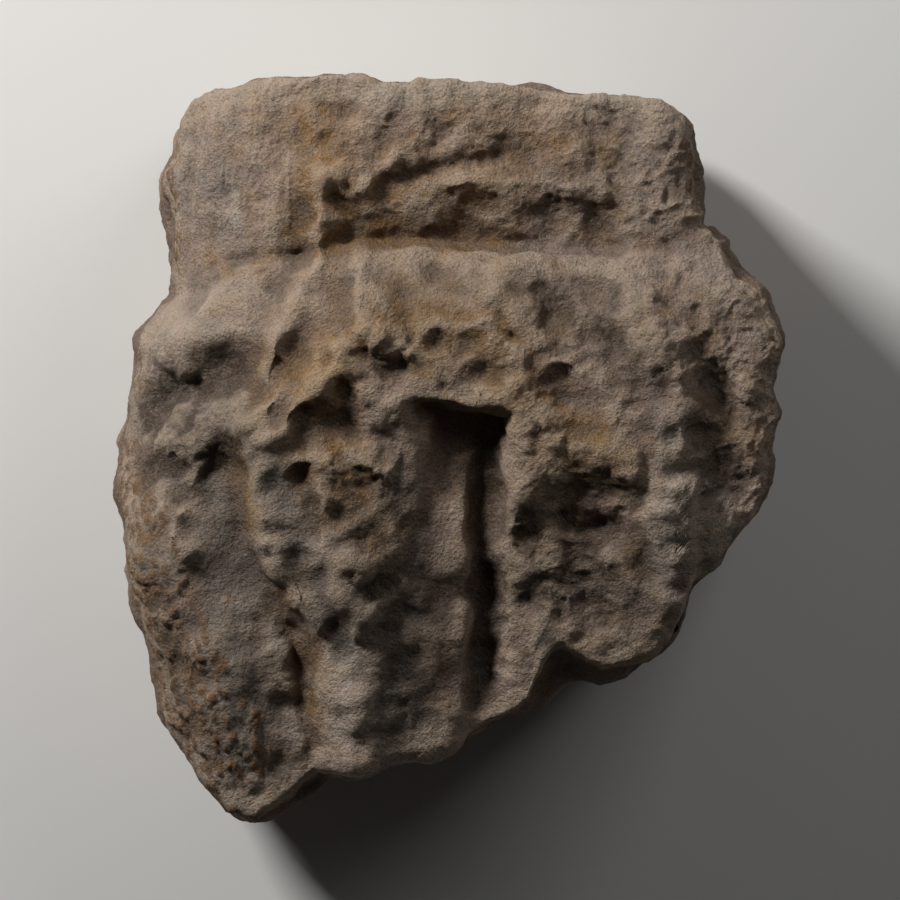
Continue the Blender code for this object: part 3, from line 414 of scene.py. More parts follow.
# A spine is a crest with two unlike flanks: a path, the width on its left and on its right as one goes along
# it, and a rise.
SPINES = [
    # the fold that runs down from the crease, bright on its left
    ([(-16.9, 75), (-18.7, 71.3), (-21.4, 67.5), (-23, 63.3), (-24, 58.3), (-24.6, 53.4)], 3.2, 1.5, 1.5),
    # the crest that bounds the middle of the face on the left
    ([(-10.8, 74.2), (-11.6, 69.9), (-11.9, 65.3), (-15.2, 59.6), (-19.5, 55.6),
      (-22.7, 51.7)], 2.2, 1.8, 1.9),
    # the left lobe's long crest
    ([(-21.8, 50.7), (-19.8, 46.1), (-17.2, 40.8), (-13.8, 33.5)], 5.0, 6.0, 1.9),
    ([(-13.8, 33.5), (-12.6, 29.5), (-11.6, 24.9), (-11.3, 17), (-12.4, 8.3)], 2.8, 5.2, 1.7),
    # the groove beside the lobe's foot
    ([(-19.8, 24.9), (-18.2, 18.3), (-17.2, 11.7), (-16.6, 5.7)], 1.8, 1.8, -1.2),
    # the edge between the flute and the left lobe
    ([(-26.2, 51.4), (-25.6, 44.8), (-24.7, 39.5), (-23.2, 33.9), (-20.6, 28.6)], 1.6, 1.3, 1.0),
    # the edge of the lens-shaped groove in the flute's wall
    ([(-21.7, 24.9), (-20.6, 18.3), (-19.4, 10.3), (-17.9, 5)], 1.0, 1.4, 0.9),
    ([(-19.8, 30.2), (-17.2, 24.2), (-15.8, 18.9), (-17.4, 13.6)], 1.0, 1.2, 0.7),
    # the crest left of the flute's floor
    ([(-32.8, 46.4), (-34.4, 42.4), (-36.5, 37.9)], 1.5, 1.8, 1.6),
    # the right lobe's raised rim
    ([(5.1, 69.3), (6.7, 72.8), (10.7, 75), (16.6, 74.6), (20.3, 72.3), (25.5, 70.2), (28.1, 66),
      (29.9, 62), (31.1, 55.4), (31.3, 47.4), (31.2, 30.2)], 2.4, 4.0, 1.5),
    ([(5.6, 69.7), (8, 71.3), (12.6, 72.1)], 1.0, 1.6, 0.7),
    # the right lobe's scarp, steep on its lower left
    ([(9.3, 57), (12, 53.4), (14.6, 50.3), (17.7, 48.5), (22.6, 47.4), (25.5, 44.5),
      (26.6, 41.5)], 5.0, 2.4, 1.7),
    ([(7.4, 52.7), (12, 47.4), (9.3, 40.8)], 2.0, 2.5, 0.6),
    # the thin winding ridges over the recess
    ([(-5, 62.5), (-3.2, 64.1), (-1.7, 65.7), (2.7, 65.7), (5.4, 66.9), (9.3, 66.2), (12.1, 63.8),
      (13, 61.9), (16.2, 60.5), (18.9, 58.5), (22.8, 56.4)], 2.2, 1.1, 0.8),
    ([(-1.8, 63.2), (0.1, 61.5), (1.7, 60.3), (3.2, 61.5), (4.7, 63), (7.5, 63.7),
      (9.9, 61.7)], 1.6, 1.1, 0.9),
    # ledges on the left lobe
    ([(-15.2, 47.2), (-11.2, 47.4), (-8.1, 46)], 1.4, 0.8, 0.9),
    ([(-19.1, 47.9), (-15.6, 48.3)], 1.2, 0.8, 0.6),
    ([(-10.8, 56.2), (-6.8, 55.1)], 1.4, 0.8, 0.5),
    ([(-4.6, 63), (-5.9, 69.1), (-0.6, 67)], 0.8, 0.8, -0.5),
    # the band's diagonal ridge, the long ridge under it, and the upright one
    ([(-2.2, 94.8), (-4.4, 90.5), (-6.6, 87.2), (-10, 84.2)], 1.3, 2.2, 1.2),
    ([(0.7, 84.2), (4, 84.9), (10.7, 84.9), (20.2, 83.7)], 2.0, 1.2, 0.9),
    ([(-15.8, 85.6), (-16.6, 80.5), (-17.4, 75.5)], 1.2, 1.4, 0.9),
    ([(-7.6, 95.4), (-11.1, 91.1), (-13.8, 87.2)], 0.9, 1.6, 0.6),
    ([(-13.8, 79.9), (-6.6, 81.3), (-2.2, 82.4)], 1.6, 1.2, 0.6),
    # small marks on the right lobe
    ([(14.9, 40.5), (17.3, 39.3), (19.9, 39.9)], 0.8, 0.8, -0.8),
    ([(21.3, 35.5), (23.6, 32.8)], 1.2, 1.0, 0.8),
]
# A dent is a small hollow or a groove: a path, a width and a fall.
DENTS = [
    ([(-19.7, 95.6), (-19.4, 92.7)], 1.1, 1.3),
    ([(-29.3, 83.4), (-28.7, 81.6), (-26.7, 81.3)], 0.6, 0.5),
    ([(-28, 86.5), (-28.4, 85)], 0.6, 0.5),
    ([(-2.6, 79.3)], 0.7, 0.7),
    ([(6.3, 77)], 0.7, -0.6),
    ([(-19.7, 75.8)], 0.8, 0.8),
    ([(19.5, 77.4)], 0.8, 0.8),
    ([(-28.9, 63.3)], 0.7, 1.2),
    ([(-29.3, 55.6), (-28.3, 54)], 0.9, 1.2),
    ([(-32.6, 58.7)], 0.8, 0.8),
    ([(-19.4, 45.7), (-17.9, 42.6)], 0.8, 1.9),
    ([(-16.4, 40.3), (-15.7, 38.7)], 0.7, 1.0),
    ([(-19.8, 36)], 0.7, 0.9),
    ([(-13.8, 26.2)], 0.8, 0.8),
    ([(-36, 35.1)], 0.8, 0.9),
    ([(-14.8, 19.6)], 0.7, 0.7),
    ([(-17.4, 17), (-18.2, 20.9)], 0.8, 0.8),
    ([(-28.3, 15.2), (-28.3, 6)], 0.5, 0.35),
    ([(-24.7, 15.2), (-24.3, 9)], 0.5, 0.3),
    ([(-30.4, 11.8), (-30.1, 10.1)], 0.5, 1.0),
    ([(-6, 15.6)], 0.9, 0.8),
    ([(0.3, 13.5)], 0.7, 0.9),
    ([(5.2, 60.7)], 0.7, 0.9),
    ([(25.2, 73.2)], 0.9, 1.1),
    ([(28.9, 64.4), (29.6, 63)], 0.8, 1.2),
    ([(26.3, 51.7), (23.2, 53)], 0.6, 0.8),
    ([(17.3, 54.7)], 0.8, 0.7),
    ([(9.2, 48.6), (9.9, 46.1)], 0.8, 1.0),
    ([(8.3, 45.8)], 0.8, 0.9),
    ([(11.1, 40.5)], 0.8, 1.0),
    ([(12, 37.7), (10.4, 37.5)], 0.9, 0.9),
    ([(24.7, 41.5)], 0.8, 1.2),
    ([(27, 40.4)], 0.6, 0.8),
    ([(28.1, 36.6), (28.9, 33.9)], 0.7, 0.8),
    ([(28.1, 26.5)], 0.8, 0.8),
    ([(17.9, 24.9)], 1.0, 0.9),
    ([(32.8, 56)], 0.8, 1.2),
    ([(34.4, 64.1), (36, 65.8), (37.3, 66.5)], 1.0, 0.7),
    ([(36.1, 46.1), (38.5, 44.5)], 1.0, 1.2),
    ([(33.8, 47.4)], 0.8, 1.0),
    ([(39.8, 50.7), (40.7, 47.4)], 0.8, 1.0),
    ([(32.1, 70.2), (33.2, 71.9)], 0.8, 0.5),
]
# How far the front edge of the break stands back above the lowest edge seen, as (across, up).
BREAK_LIFT = [(-44, 0.5), (-28, 1.4), (-24, 1.2), (-20.5, 1.5), (-17.3, 2.8), (-12.9, 1.0), (-5, 0.6),
              (8, 0.6), (10.5, 1.5), (13, 6.0), (16.8, 3.7), (21.5, 1.9), (25, 1.0), (44, 0.8)]
# Where the carved face is rough: a path, a width and how much rougher than the rest.
RUGGED = [
    ([(-15, 48), (-8, 46)], 3.0, 0.5),
    ([(-13, 62), (-4, 62), (8, 62)], 4.0, 0.4),
    ([(10, 40), (14, 62), (24, 66)], 8.0, 0.15),
    ([(14, 34), (18, 26)], 5.0, 0.2),
    ([(36, 66), (38, 55), (36, 44)], 6.5, 0.5),
    ([(22, 92), (27, 86)], 5.5, 0.7),
    ([(-12, 94), (10, 88), (14, 80)], 7.0, 0.3),
    ([(-35, 50), (-30, 57)], 4.0, 0.3),
]
# Where it is smooth: the same, and how much smoother.
SMOOTH = [
    ([(-34, 68), (-28, 62)], 7.0, 0.4),
    ([(-6, 71), (4, 70)], 4.5, 0.5),
    ([(-30, 40), (-27, 20), (-24, 10)], 5.0, 0.3),
    ([(-3, 46), (-1, 32), (0, 18)], 4.0, 0.4),
    ([(3, 50), (3, 40)], 4.0, 0.4),
    ([(-33, 90), (-32, 80)], 4.5, 0.3),
    ([(-17, 68), (-22, 58)], 3.5, 0.3),
    ([(-22, 46), (-16, 30), (-12, 18)], 5.0, 0.3),
    ([(29, 56), (29, 30)], 3.5, 0.35),
]
# Brown lime crust in beads along the left rim and low on the left: a path, a width and a strength.
CRUSTED = [
    ([(-41.5, 40), (-39.5, 28), (-37, 20)], 4.4, 1.2),
    ([(-37, 24), (-33.5, 20), (-31, 13), (-28, 9)], 4.2, 1.2),
    ([(-33, 14), (-28, 3)], 3.8, 1.1),
    ([(-26, 14), (-24, 9)], 1.6, 0.6),
    ([(-37.5, 90), (-37.3, 75)], 1.8, 1.1),
    ([(-43, 50), (-43, 42)], 1.6, 0.7),
    ([(31, 92), (33, 82)], 1.4, 0.5),
    ([(43, 66), (42.5, 50)], 1.2, 0.5),
    ([(-42, 63), (-40, 58)], 1.2, 0.6),
]
# Ochre stain, from iron in the ground water.
OCHRE = [
    ([(-20, 77.2), (-7, 77.6), (7, 77.4)], 1.8, 1.0),
    ([(-41, 38), (-38, 24), (-34, 12)], 3.0, 0.6),
    ([(-17, 92), (-16, 80)], 5.0, 0.9),
    ([(-8, 82), (6, 84)], 5.0, 0.7),
    ([(2, 94), (14, 90)], 5.0, 0.4),
    ([(-12, 64), (-4, 66), (8, 64)], 5.5, 0.85),
    ([(-24, 62), (-26, 52)], 2.5, 0.5),
    ([(-18, 58), (-16, 48)], 4.5, 1.0),
    ([(-12, 47), (-9, 37)], 3.0, 0.9),
    ([(10, 56), (22, 48)], 5.0, 0.8),
    ([(12, 45), (14, 38)], 4.0, 0.5),
    ([(-14.7, 20)], 1.4, 0.9),
    ([(-18, 22), (-17, 12)], 1.6, 0.6),
    ([(16, 18.5), (24, 20.5)], 2.2, 0.6),
    ([(-28, 50), (-25.5, 40)], 1.6, 0.9),
    ([(-22, 30), (-19, 16)], 1.8, 0.6),
    ([(34, 55), (38, 50)], 3.0, 0.4),
]
# Grey, where the warm skin is gone.
GREYED = [
    ([(-32, 45), (-29, 30), (-27, 10)], 6.5, 0.9),
    ([(-36, 55), (-30, 56)], 4.5, 0.9),
    ([(-23, 46), (-18, 34), (-15, 27)], 3.2, 1.0),
    ([(-9, 24), (-6, 12)], 5.0, 0.8),
    ([(-6, 44), (-5, 36)], 3.0, 0.6),
    ([(14, 34), (22, 26)], 6.0, 0.3),
    ([(34, 60), (37, 44)], 4.0, 0.25),
    ([(18, 66), (24, 58)], 3.5, 0.4),
    ([(-36, 90), (-30, 84)], 3.5, 0.5),
]
# Painted shade: darker colour laid where shade falls, in the niche over the flute, the channel, the lobes'
# flanks and under ledges.
PAINTED_SHADE_PLACES = [
    ([(-36.5, 57.5), (-30.7, 59.8)], 4.0, 1.4),
    ([(-34.5, 50.2), (-31, 50.8), (-27.5, 50)], 2.6, 1.1),
    ([(-39.8, 46.5), (-36.5, 47.4)], 2.4, 1.0),
    ([(-38, 53), (-30, 55)], 5.5, 1.0),
    ([(-41, 40), (-38, 24), (-34, 12)], 3.2, 0.85),
    ([(-11, 62), (-8, 60)], 1.8, 0.8),
    ([(-19, 52), (-14, 54)], 2.4, 0.6),
    ([(-13, 80.5), (6, 79.2)], 2.4, 0.6),
    ([(8, 83), (20, 81)], 2.6, 0.5),
    ([(-20, 82), (-20, 76)], 1.8, 0.6),
    ([(-13, 46), (-10, 30)], 3.2, 0.9),
    ([(-19, 46), (-17.5, 40)], 1.5, 0.7),
    ([(-8, 22), (-6, 12)], 3.0, 0.6),
    ([(4, 52), (4.5, 36), (4.3, 16)], 2.0, 0.8),
    ([(11, 41), (16, 46), (22, 45)], 2.2, 0.5),
    ([(12, 33), (23, 31)], 6.5, 0.95),
    ([(12, 70), (22, 66), (24, 60)], 4.0, 0.55),
    ([(-6, 62), (9, 62)], 4.0, 0.35),
    ([(-6, 71), (4, 71)], 3.5, 0.35),
    ([(-8, 46), (-6, 30)], 3.0, 0.6),
    ([(-1, 36), (-0.5, 17)], 2.6, 0.55),
    ([(14, 69), (22, 64)], 1.6, 0.5),
    ([(36, 58), (36, 48)], 3.0, 0.4),
]
# Pale lime, left where the brown skin has come away.
PALE = [
    ([(12.9, 24.6)], 1.3, 0.9),
    ([(27.3, 56.0)], 0.7, 1.0),
    ([(-12, 96), (6, 97)], 1.5, 0.5),
    ([(16, 97), (28, 94)], 1.5, 0.5),
    ([(-36, 88), (-30, 80)], 4.0, 0.3),
    ([(-34, 68), (-38, 60)], 5.0, 0.3),
    ([(28, 90), (30, 82)], 4.0, 0.25),
    ([(-28, 84), (-27.5, 79)], 0.5, 0.6),
    ([(29, 52), (29, 32)], 2.8, 0.6),
    ([(34, 42), (37, 36)], 3.5, 0.4),
    ([(36, 74), (40, 66)], 3.5, 0.4),
    ([(-13.5, 23), (-13, 12)], 1.8, 0.6),
    ([(-23, 26), (-20, 12)], 1.2, 0.5),
]


def up_of(y):
    """Height on the carving's grid of a place this far along the stone from the tip."""
    return np.interp(y, [0, HEIGHT - BAND_HEIGHT, HEIGHT], [0, CREASE_UP, 100])


def along_of(up):
    """Place along the stone, from the tip, of a height on the carving's grid."""
    return np.interp(up, [0, CREASE_UP, 100], [0, HEIGHT - BAND_HEIGHT, HEIGHT])


def outline(up):
    """The left and right edge of the stone in metres, at each height on the carving's grid."""
    left_crease = CREASE[0][1]
    right_crease = CREASE[-1][1]
    in_band_left = step(up, left_crease - 1, left_crease + 1)
    in_band_right = step(up, right_crease - 1.2, right_crease + 1.2)
    body_left = smooth_through(up, BODY_LEFT) / 100 * BODY_WIDTH
    body_right = smooth_through(up, BODY_RIGHT) / 100 * BODY_WIDTH
    band_left = BAND_SHIFT + smooth_through(up, BAND_LEFT) / 100 * BAND_WIDTH
    band_right = BAND_SHIFT + smooth_through(up, BAND_RIGHT) / 100 * BAND_WIDTH
    return (body_left + (band_left - body_left) * in_band_left,
            body_right + (band_right - body_right) * in_band_right)


def front_height(across, up):
    """Height of the foremost line of the section over the back: the body swells under the sagging crease."""
    below_crease = up + CREASE_UP - smooth_through(across, CREASE)
    body = smooth_through(below_crease, BODY_SWELL) * DEPTH
    band = DEPTH - BAND_SETBACK - BAND_LEAN * step(up, CREASE_UP, 104)
    return body + (band - body) * step(below_crease, CREASE_UP - 1.0, CREASE_UP + 1.0)


def fuller(deep, across, up):
    """The section's depth, squarer where the front is flatter: at the top, low on the left, on the right."""
    top = step(up, 54, 66)
    low_left = step(-across, 12, 24) * (1 - 0.6 * step(up, 34, 54) - 0.4 * step(up, 54, 66))
    right = step(across, 8, 24)
    power = 1 - TOP_SQUARER * top - LOW_LEFT_SQUARER * low_left - RIGHT_SQUARER * right
    return np.clip(deep, 0, 1) ** np.maximum(power, LEAST_POWER)


def break_up(across, deep):
    """Height on the carving's grid of the broken end, which is lowest a little behind the carved face."""
    lift = smooth_through(across, BREAK_LIFT) * step(deep, 0.55, 1.0)
    slant = BREAK_SLANT * step(-deep, -0.3, 1.0)
    return smooth_through(across, BREAK_EDGE) + lift + slant


def bed_up(across, deep):
    """Height on the carving's grid of the top bed's edge, a little worn down at the carved face."""
    return smooth_through(across, TOP_EDGE) - 0.9 * step(deep, 0.75, 1.0) - 1.5 * step(-deep, 0.2, 1.0)


def recess(across, up):
    """How far the square-topped recess is sunk, from 0 to 1: a product of S-curves across its walls."""
    left = smooth_through(up, RECESS_LEFT)
    shelf = smooth_through(up, RECESS_SHELF)
    right = smooth_through(up, RECESS_RIGHT)
    top = smooth_through(across, RECESS_TOP)
    left_wall = 0.6 * step(across, left - 0.6, left + 1.6) + 0.4 * step(across, shelf - 0.8, left + 0.6)
    right_wall = 1 - step(across, right - 1.2, right + 0.9)
    top_wall = 1 - step(up, top - 1.0, top + 0.4)
    foot = step(up, RECESS_FOOT - 3.0, RECESS_FOOT + 11)
    return left_wall * right_wall * top_wall * foot


def channel(across, up):
    """How far the channel is sunk, from 0 to 1: its section, narrower at each height, up to the recess."""
    aside = across - smooth_through(up, CHANNEL_LINE)
    narrow = np.where(aside < 0, smooth_through(up, CHANNEL_LEFT), smooth_through(up, CHANNEL_RIGHT))
    top = smooth_through(across, RECESS_TOP)
    sunk = smooth_through(aside / narrow, CHANNEL_SECTION)
    return sunk * (1 - step(up, top - 1.0, top + 0.6))


def slot(across, up):
    """The narrow slot in the channel's bottom, from 0 to 1: upright on its left, sloping up on its right."""
    aside = across - smooth_through(up, CHANNEL_LINE)
    slot_section = step(aside, -2.4, -0.1) * (1 - step(aside, 1.0, 4.4))
    return slot_section * step(up, 8, 20) * (1 - step(up, 42, 52))


def flute(across, up):
    """How far the round-topped flute on the left is sunk, from 0 to 1: deepest along its steep right side."""
    right = smooth_through(up, FLUTE_RIGHT)
    top = smooth_through(across, FLUTE_TOP)
    underside = 1 - 0.2 * step(up, top - 0.5, top + 7) - 0.8 * step(up, top - 6.0, top + 1.2)
    tilt = 1 - (0.85 - 0.35 * step(up, 40, 50)) * step(right - across, 1, 17)
    wall = 1 - step(across, right - 2.0 - 1.5 * step(-up, -40, -15), right + 2.2)
    return wall * underside * tilt


def worn_lines(across, up):
    """The same places moved a little, so that the carved lines wander as worn edges do."""
    place = np.stack([across, up, 0 * up], axis=-1)
    return (across + WANDER * layered_noise(place, WANDER_SIZE, 2, seed=41),
            up + WANDER * layered_noise(place, WANDER_SIZE, 2, seed=51),
            1 + FADING * noise(place, FADING_SIZE, seed=61))


def sunk_parts(across, up):
    """How far the crease, the side plane and the band's broken middle lie back, in metres."""
    below_crease = up + CREASE_UP - smooth_through(across, CREASE)
    crease = np.exp(-((below_crease - CREASE_UP) / CREASE_WIDTH) ** 2)
    crease = crease * smooth_through(across, CREASE_STRENGTH)
    side = step(across - smooth_through(up, LOBE_EDGE), -0.5, 4.5) * (1 - step(below_crease, 58, 74))
    broken = step(across, -17.5, -13) * (1 - step(across, 19, 27)) * step(below_crease, 75.5, 77.5)
    undercut = 1.3 - step(below_crease, 77, 85.5)
    return CREASE_DEPTH * crease + SIDE_DROP * side + BAND_UNDERCUT * broken * undercut


def hollows(across, up):
    """How far the recess, the channel, its slot and the flute lie back, in metres."""
    return (RECESS_DEPTH * recess(across, up) + CHANNEL_DEPTH * channel(across, up)
            + SLOT_DEPTH * slot(across, up) + FLUTE_DEPTH * flute(across, up))


def relief(across, up):
    """How far the carved face stands out of the swelling body, in metres, at places on the carving's grid."""
    worn_across, worn_up, strength = worn_lines(across, up)
    forms = sum(stroke(across, up, *swell) for swell in SWELLS)
    crests = sum(spine(worn_across, worn_up, *crest) for crest in SPINES)
    dents = DENT_SHARE * sum(stroke(worn_across, worn_up, *dent) for dent in DENTS)
    halfway = ((across + worn_across) / 2, (up + worn_up) / 2)
    return RISE * (forms + strength * (crests - dents)) - sunk_parts(across, up) - hollows(*halfway)


def section(columns):
    """The section at even steps round it: across from -1 to 1, and deep from -1, back, to 1, front."""
    turn = np.linspace(0, 2 * np.pi, 6001)
    cosine, sine = np.cos(turn), np.sin(turn)
    in_front = sine > 0
    across_power = np.where(in_front, 2 / FRONT_ROUND_ACROSS, 2 / BACK_SQUARE)
    deep_power = np.where(in_front, 2 / FRONT_ROUND_DEEP, 2 / BACK_SQUARE)
    across = np.sign(cosine) * np.abs(cosine) ** across_power
    deep = np.sign(sine) * np.abs(sine) ** deep_power
    reach = np.where(in_front, DEPTH - SIDE_LINE, SIDE_LINE)
    length = np.hypot(np.diff(across) * BODY_WIDTH / 2, np.diff(deep) * reach[1:])
    length = length * np.where(deep[1:] > BACK_BEGINS, 1, BACK_SHARE)
    gone = np.concatenate([[0], np.cumsum(length)])
    stops = np.linspace(0, gone[-1], columns, endpoint=False)
    return np.interp(stops, gone, across), np.interp(stops, gone, deep)


def side_rows(columns, rows):
    """The sides as rows of points from the break to the bed, with the carving but without the roughness."""
    across, deep = section(columns)
    share = np.linspace(0, 1, rows)[:, None]
    x = across * BODY_WIDTH / 2 + 0 * share
    for _ in range(SETTLING_PASSES):
        grid = x / ACROSS
        start = along_of(break_up(grid, deep))
        end = along_of(bed_up(grid, deep))
        y = start + (end - start) * share
        left, right = outline(up_of(y))
        edge = np.clip(np.minimum(y - start, end - y), 0, EDGE_WEAR)
        worn = EDGE_WEAR - np.sqrt(EDGE_WEAR ** 2 - (EDGE_WEAR - edge) ** 2)
        x = 0.4 * x + 0.6 * ((left + right) / 2 + across * ((right - left) / 2 - worn))
    up = up_of(y)
    front = front_height(grid, up) - SIDE_LINE - worn
    back = SIDE_LINE * BACK_BULGE - worn
    z = SIDE_LINE + np.where(deep > 0, fuller(deep, grid, up) * front, deep * back)
    facing = step(deep, 0.1, 0.45)
    z = z + relief(x / ACROSS, up) * facing
    return np.stack([x, y, z], axis=-1), across, deep


def cap_rows(edge, across, deep, rings, height_at, level):
    """Rings from an end's edge in to its middle: the edge shrunk to a point, at the height of the end."""
    share = (np.arange(1, rings + 1) / (rings + 1))[:, None]
    middle = np.array([np.mean(edge[:, 0]), 0, DEPTH * CAP_MIDDLE])
    ring = edge + (middle - edge) * share[..., None]
    deep_here = deep * (1 - share)
    inside = along_of(height_at(ring[..., 0] / ACROSS, deep_here))
    at_edge = along_of(height_at(edge[:, 0] / ACROSS, deep))
    y = inside + (edge[:, 1] - at_edge) * (1 - share) ** 2
    if level is not None:
        y = y + (np.minimum(y, level) - y) * step(share, 0.08, 0.3)
    ring[..., 1] = y
    return ring


def skin_normals(points):
    """Outward unit normals of a closed sheet of rings, from the steps to its neighbours in each direction."""
    up = np.gradient(points, axis=0)
    round_about = (np.roll(points, -1, axis=1) - np.roll(points, 1, axis=1)) / 2
    normal = np.cross(up, round_about)
    return normal / np.maximum(np.linalg.norm(normal, axis=-1, keepdims=True), 1e-12)


def roughness(rings, flat):
    """How far weathering and breakage move each point out or in, in metres."""
    on_back = 1 - step(rings[..., 2], SIDE_LINE * 0.1, SIDE_LINE * 0.6)
    broad = layered_noise(rings, BROAD_SIZE, 2, seed=11) * BROAD_RISE
    lumps = layered_noise(rings, LUMP_SIZE, 2, seed=21) * LUMP_RISE
    from_middle = np.hypot(rings[..., 0], rings[..., 1] - HEIGHT / 2)
    hollow = np.maximum(layered_noise(rings, BACK_SIZE, 3, seed=31) + 0.1, 0)
    hollow = hollow * step(from_middle, REST_PATCH, 2 * REST_PATCH)
    return (broad + lumps) * (1 - flat) * (1 - on_back) - BACK_HOLLOW * hollow * on_back


def marked(grid, places):
    """How strongly a list of places marks the stone: the sum of its strokes."""
    return sum(stroke(grid[0], grid[1], *place) for place in places)


def fine_skin(rings, grid, facing, flat):
    """How far the finer marks lift each point, in metres, and how much of it is crust, bead or pit.

    Noise of several sizes is added up, each times its own rise, and bowls are taken off it or set on it.
    """
    rugged = USUAL_ROUGHNESS + (marked(grid, RUGGED) - marked(grid, SMOOTH)) * facing
    rugged = np.clip(rugged, LEAST_ROUGHNESS, MOST_ROUGHNESS) * (1 - BED_SPARED * flat)
    bent = rings + BEND_REACH * np.stack([noise(rings, BEND_SIZE, seed) for seed in (71, 72, 73)], axis=-1)
    crumbs = layered_noise(bent, CRUMB_SIZE, 3, seed=81) * CRUMB_RISE
    flakes = ridged_noise(bent * [1 / FLAKE_LONG, 1, 1], FLAKE_SIZE, 2, seed=91) * FLAKE_RISE
    grit = layered_noise(rings, GRIT_SIZE, 2, seed=101) * GRIT_RISE * (EVEN_GRIT + (1 - EVEN_GRIT) * rugged)
    pits = bowls(bent, PIT_SIZE, PIT_SHARE, seed=111) * np.clip(rugged - PIT_FROM, 0, 1)
    pinholes = bowls(bent, PINHOLE_SIZE, PINHOLE_SHARE, seed=121) * np.clip(rugged - PINHOLE_FROM, 0, 1)
    crust = np.clip(marked(grid, CRUSTED), 0, 1) * facing
    beads = bowls(bent * [1, 1 / BEAD_LONG, 1], BEAD_SIZE, 1, seed=131, least=LEAST_BEAD) * crust
    band_left = step(-grid[0], 17, 20) * step(grid[1], 76, 79) * facing
    scratches = noise(rings * [1, 1 / SCRATCH_LONG, 1], SCRATCH_WIDTH, seed=141) * band_left * SCRATCH_DEPTH
    lift = (rugged * (crumbs + flakes) + grit + scratches + BEAD_RISE * beads - PIT_DEPTH * pits
            - PINHOLE_DEPTH * pinholes)
    return lift, crust, beads, pits


def finer_stone():
    """All rings of the finer skin, and its stains, painted shade and highlight as shares from 0 to 1."""
    sides, across, deep = side_rows(COLUMNS, ROWS)
    low = cap_rows(sides[0], across, deep, CAP_RINGS, break_up, None)[::-1]
    high = cap_rows(sides[-1], across, deep, CAP_RINGS, bed_up, HEIGHT - BED_DIP)
    rings = np.concatenate([low, sides, high])
    on_bed = np.zeros((len(rings), 1))
    on_bed[-CAP_RINGS:, 0] = step(np.arange(CAP_RINGS) / CAP_RINGS, 0.15, 0.4)
    on_side = np.zeros((len(rings), 1))
    on_side[CAP_RINGS:-CAP_RINGS] = 1
    facing = on_side * step(deep, 0.05, 0.35)
    grid = (rings[..., 0] / ACROSS, up_of(rings[..., 1]))
    before = rings
    rings = rings + skin_normals(rings) * roughness(rings, on_bed)[..., None]
    smooth = np.stack([blurred(rings[..., axis], NORMAL_REACH) for axis in range(3)], axis=-1)
    lift, crust, beads, pits = fine_skin(rings, grid, facing, on_bed)
    rings = rings + skin_normals(smooth) * lift[..., None]
    out = np.sum((rings - before) * skin_normals(smooth), axis=-1) + (before[..., 2] * facing)
    sunk = blurred(out, EVEN_REACH) - out
    stains_and_painted_light = {
        "crust": step(beads, 0.02, 0.35),
        "ochre": np.clip(marked(grid, OCHRE), 0, 1) * facing,
        "greyed": np.clip(marked(grid, GREYED), 0, 1) * facing,
        # painted shade where shade falls in the niche, the channel, the flanks and under ledges
        "painted_shade": np.clip(marked(grid, PAINTED_SHADE_PLACES), 0, 1) * facing,
        "pale": np.clip(marked(grid, PALE) + 0.15 * crust, 0, 1) * facing,
        # painted shade in the hollows and pits, and painted highlight on the crests, by how far each point
        # lies under or over its neighbours
        "hollow": np.maximum(np.clip(sunk / FULL_PAINTED_SHADE, 0, 1), pits * 0.6),
        "crest": np.clip(-sunk / FULL_PAINTED_HIGHLIGHT, 0, 1),
    }
    rings[..., 2] = np.maximum(rings[..., 2], 0)
    return rings, stains_and_painted_light


def closed_mesh(name, rings):
    """A mesh of quads between neighbouring rings, with a fan of triangles to a point at either end."""
    count, columns, _ = rings.shape
    ends = [rings[0].mean(axis=0), rings[-1].mean(axis=0)]
    points = np.concatenate([rings.reshape(-1, 3), ends])
    row, column = np.meshgrid(np.arange(count - 1), np.arange(columns), indexing="ij")
    ahead = (column + 1) % columns
    quads = np.stack([row * columns + column, (row + 1) * columns + column, (row + 1) * columns + ahead,
                      row * columns + ahead], axis=-1).reshape(-1, 4)
    here = np.arange(columns)
    there = (here + 1) % columns
    first, last = count * columns, count * columns + 1
    low_fan = np.stack([here, there, np.full(columns, first)], axis=-1)
    high_fan = np.stack([there, here, np.full(columns, last)], axis=-1)
    high_fan[:, :2] += (count - 1) * columns
    mesh = bpy.data.meshes.new(name)
    mesh.from_pydata(points.tolist(), [], quads.tolist() + low_fan.tolist() + high_fan.tolist())
    mesh.shade_smooth()
    return mesh


def centred(rings):
    """The rings moved so that the stone rests on z = 0 with the middle of its box over the origin."""
    low, high = rings.min(axis=(0, 1)), rings.max(axis=(0, 1))
    return rings - [(low[0] + high[0]) / 2, (low[1] + high[1]) / 2, 0]


def within_the_solid(rings):
    """The rings stretched evenly along each axis so that their box is the solid's box, less what thinning may
    push out."""
    low, high = rings.min(axis=(0, 1)), rings.max(axis=(0, 1))
    cad_low, cad_high = np.array(CAD_LOW) + THINNING_PUSH, np.array(CAD_HIGH) - THINNING_PUSH
    return cad_low + (rings - low) / (high - low) * (cad_high - cad_low)


def put_stains_and_painted_light(mesh, stains_and_painted_light):
    """Each stain, and the painted shade and highlight, as a number on every point, with the two end points
    clean.
    """
    for name, share in stains_and_painted_light.items():
        layer = mesh.attributes.new(name, "FLOAT", "POINT")
        layer.data.foreach_set("value", np.concatenate([share.ravel(), [0, 0]]).astype(np.float32))


def linear(hex_colour):
    """An sRGB hex colour as linear red, green and blue with full alpha."""
    parts = np.array([int(hex_colour[i:i + 2], 16) for i in (1, 3, 5)]) / 255
    return (*np.where(parts > 0.04045, ((parts + 0.055) / 1.055) ** 2.4, parts / 12.92), 1)


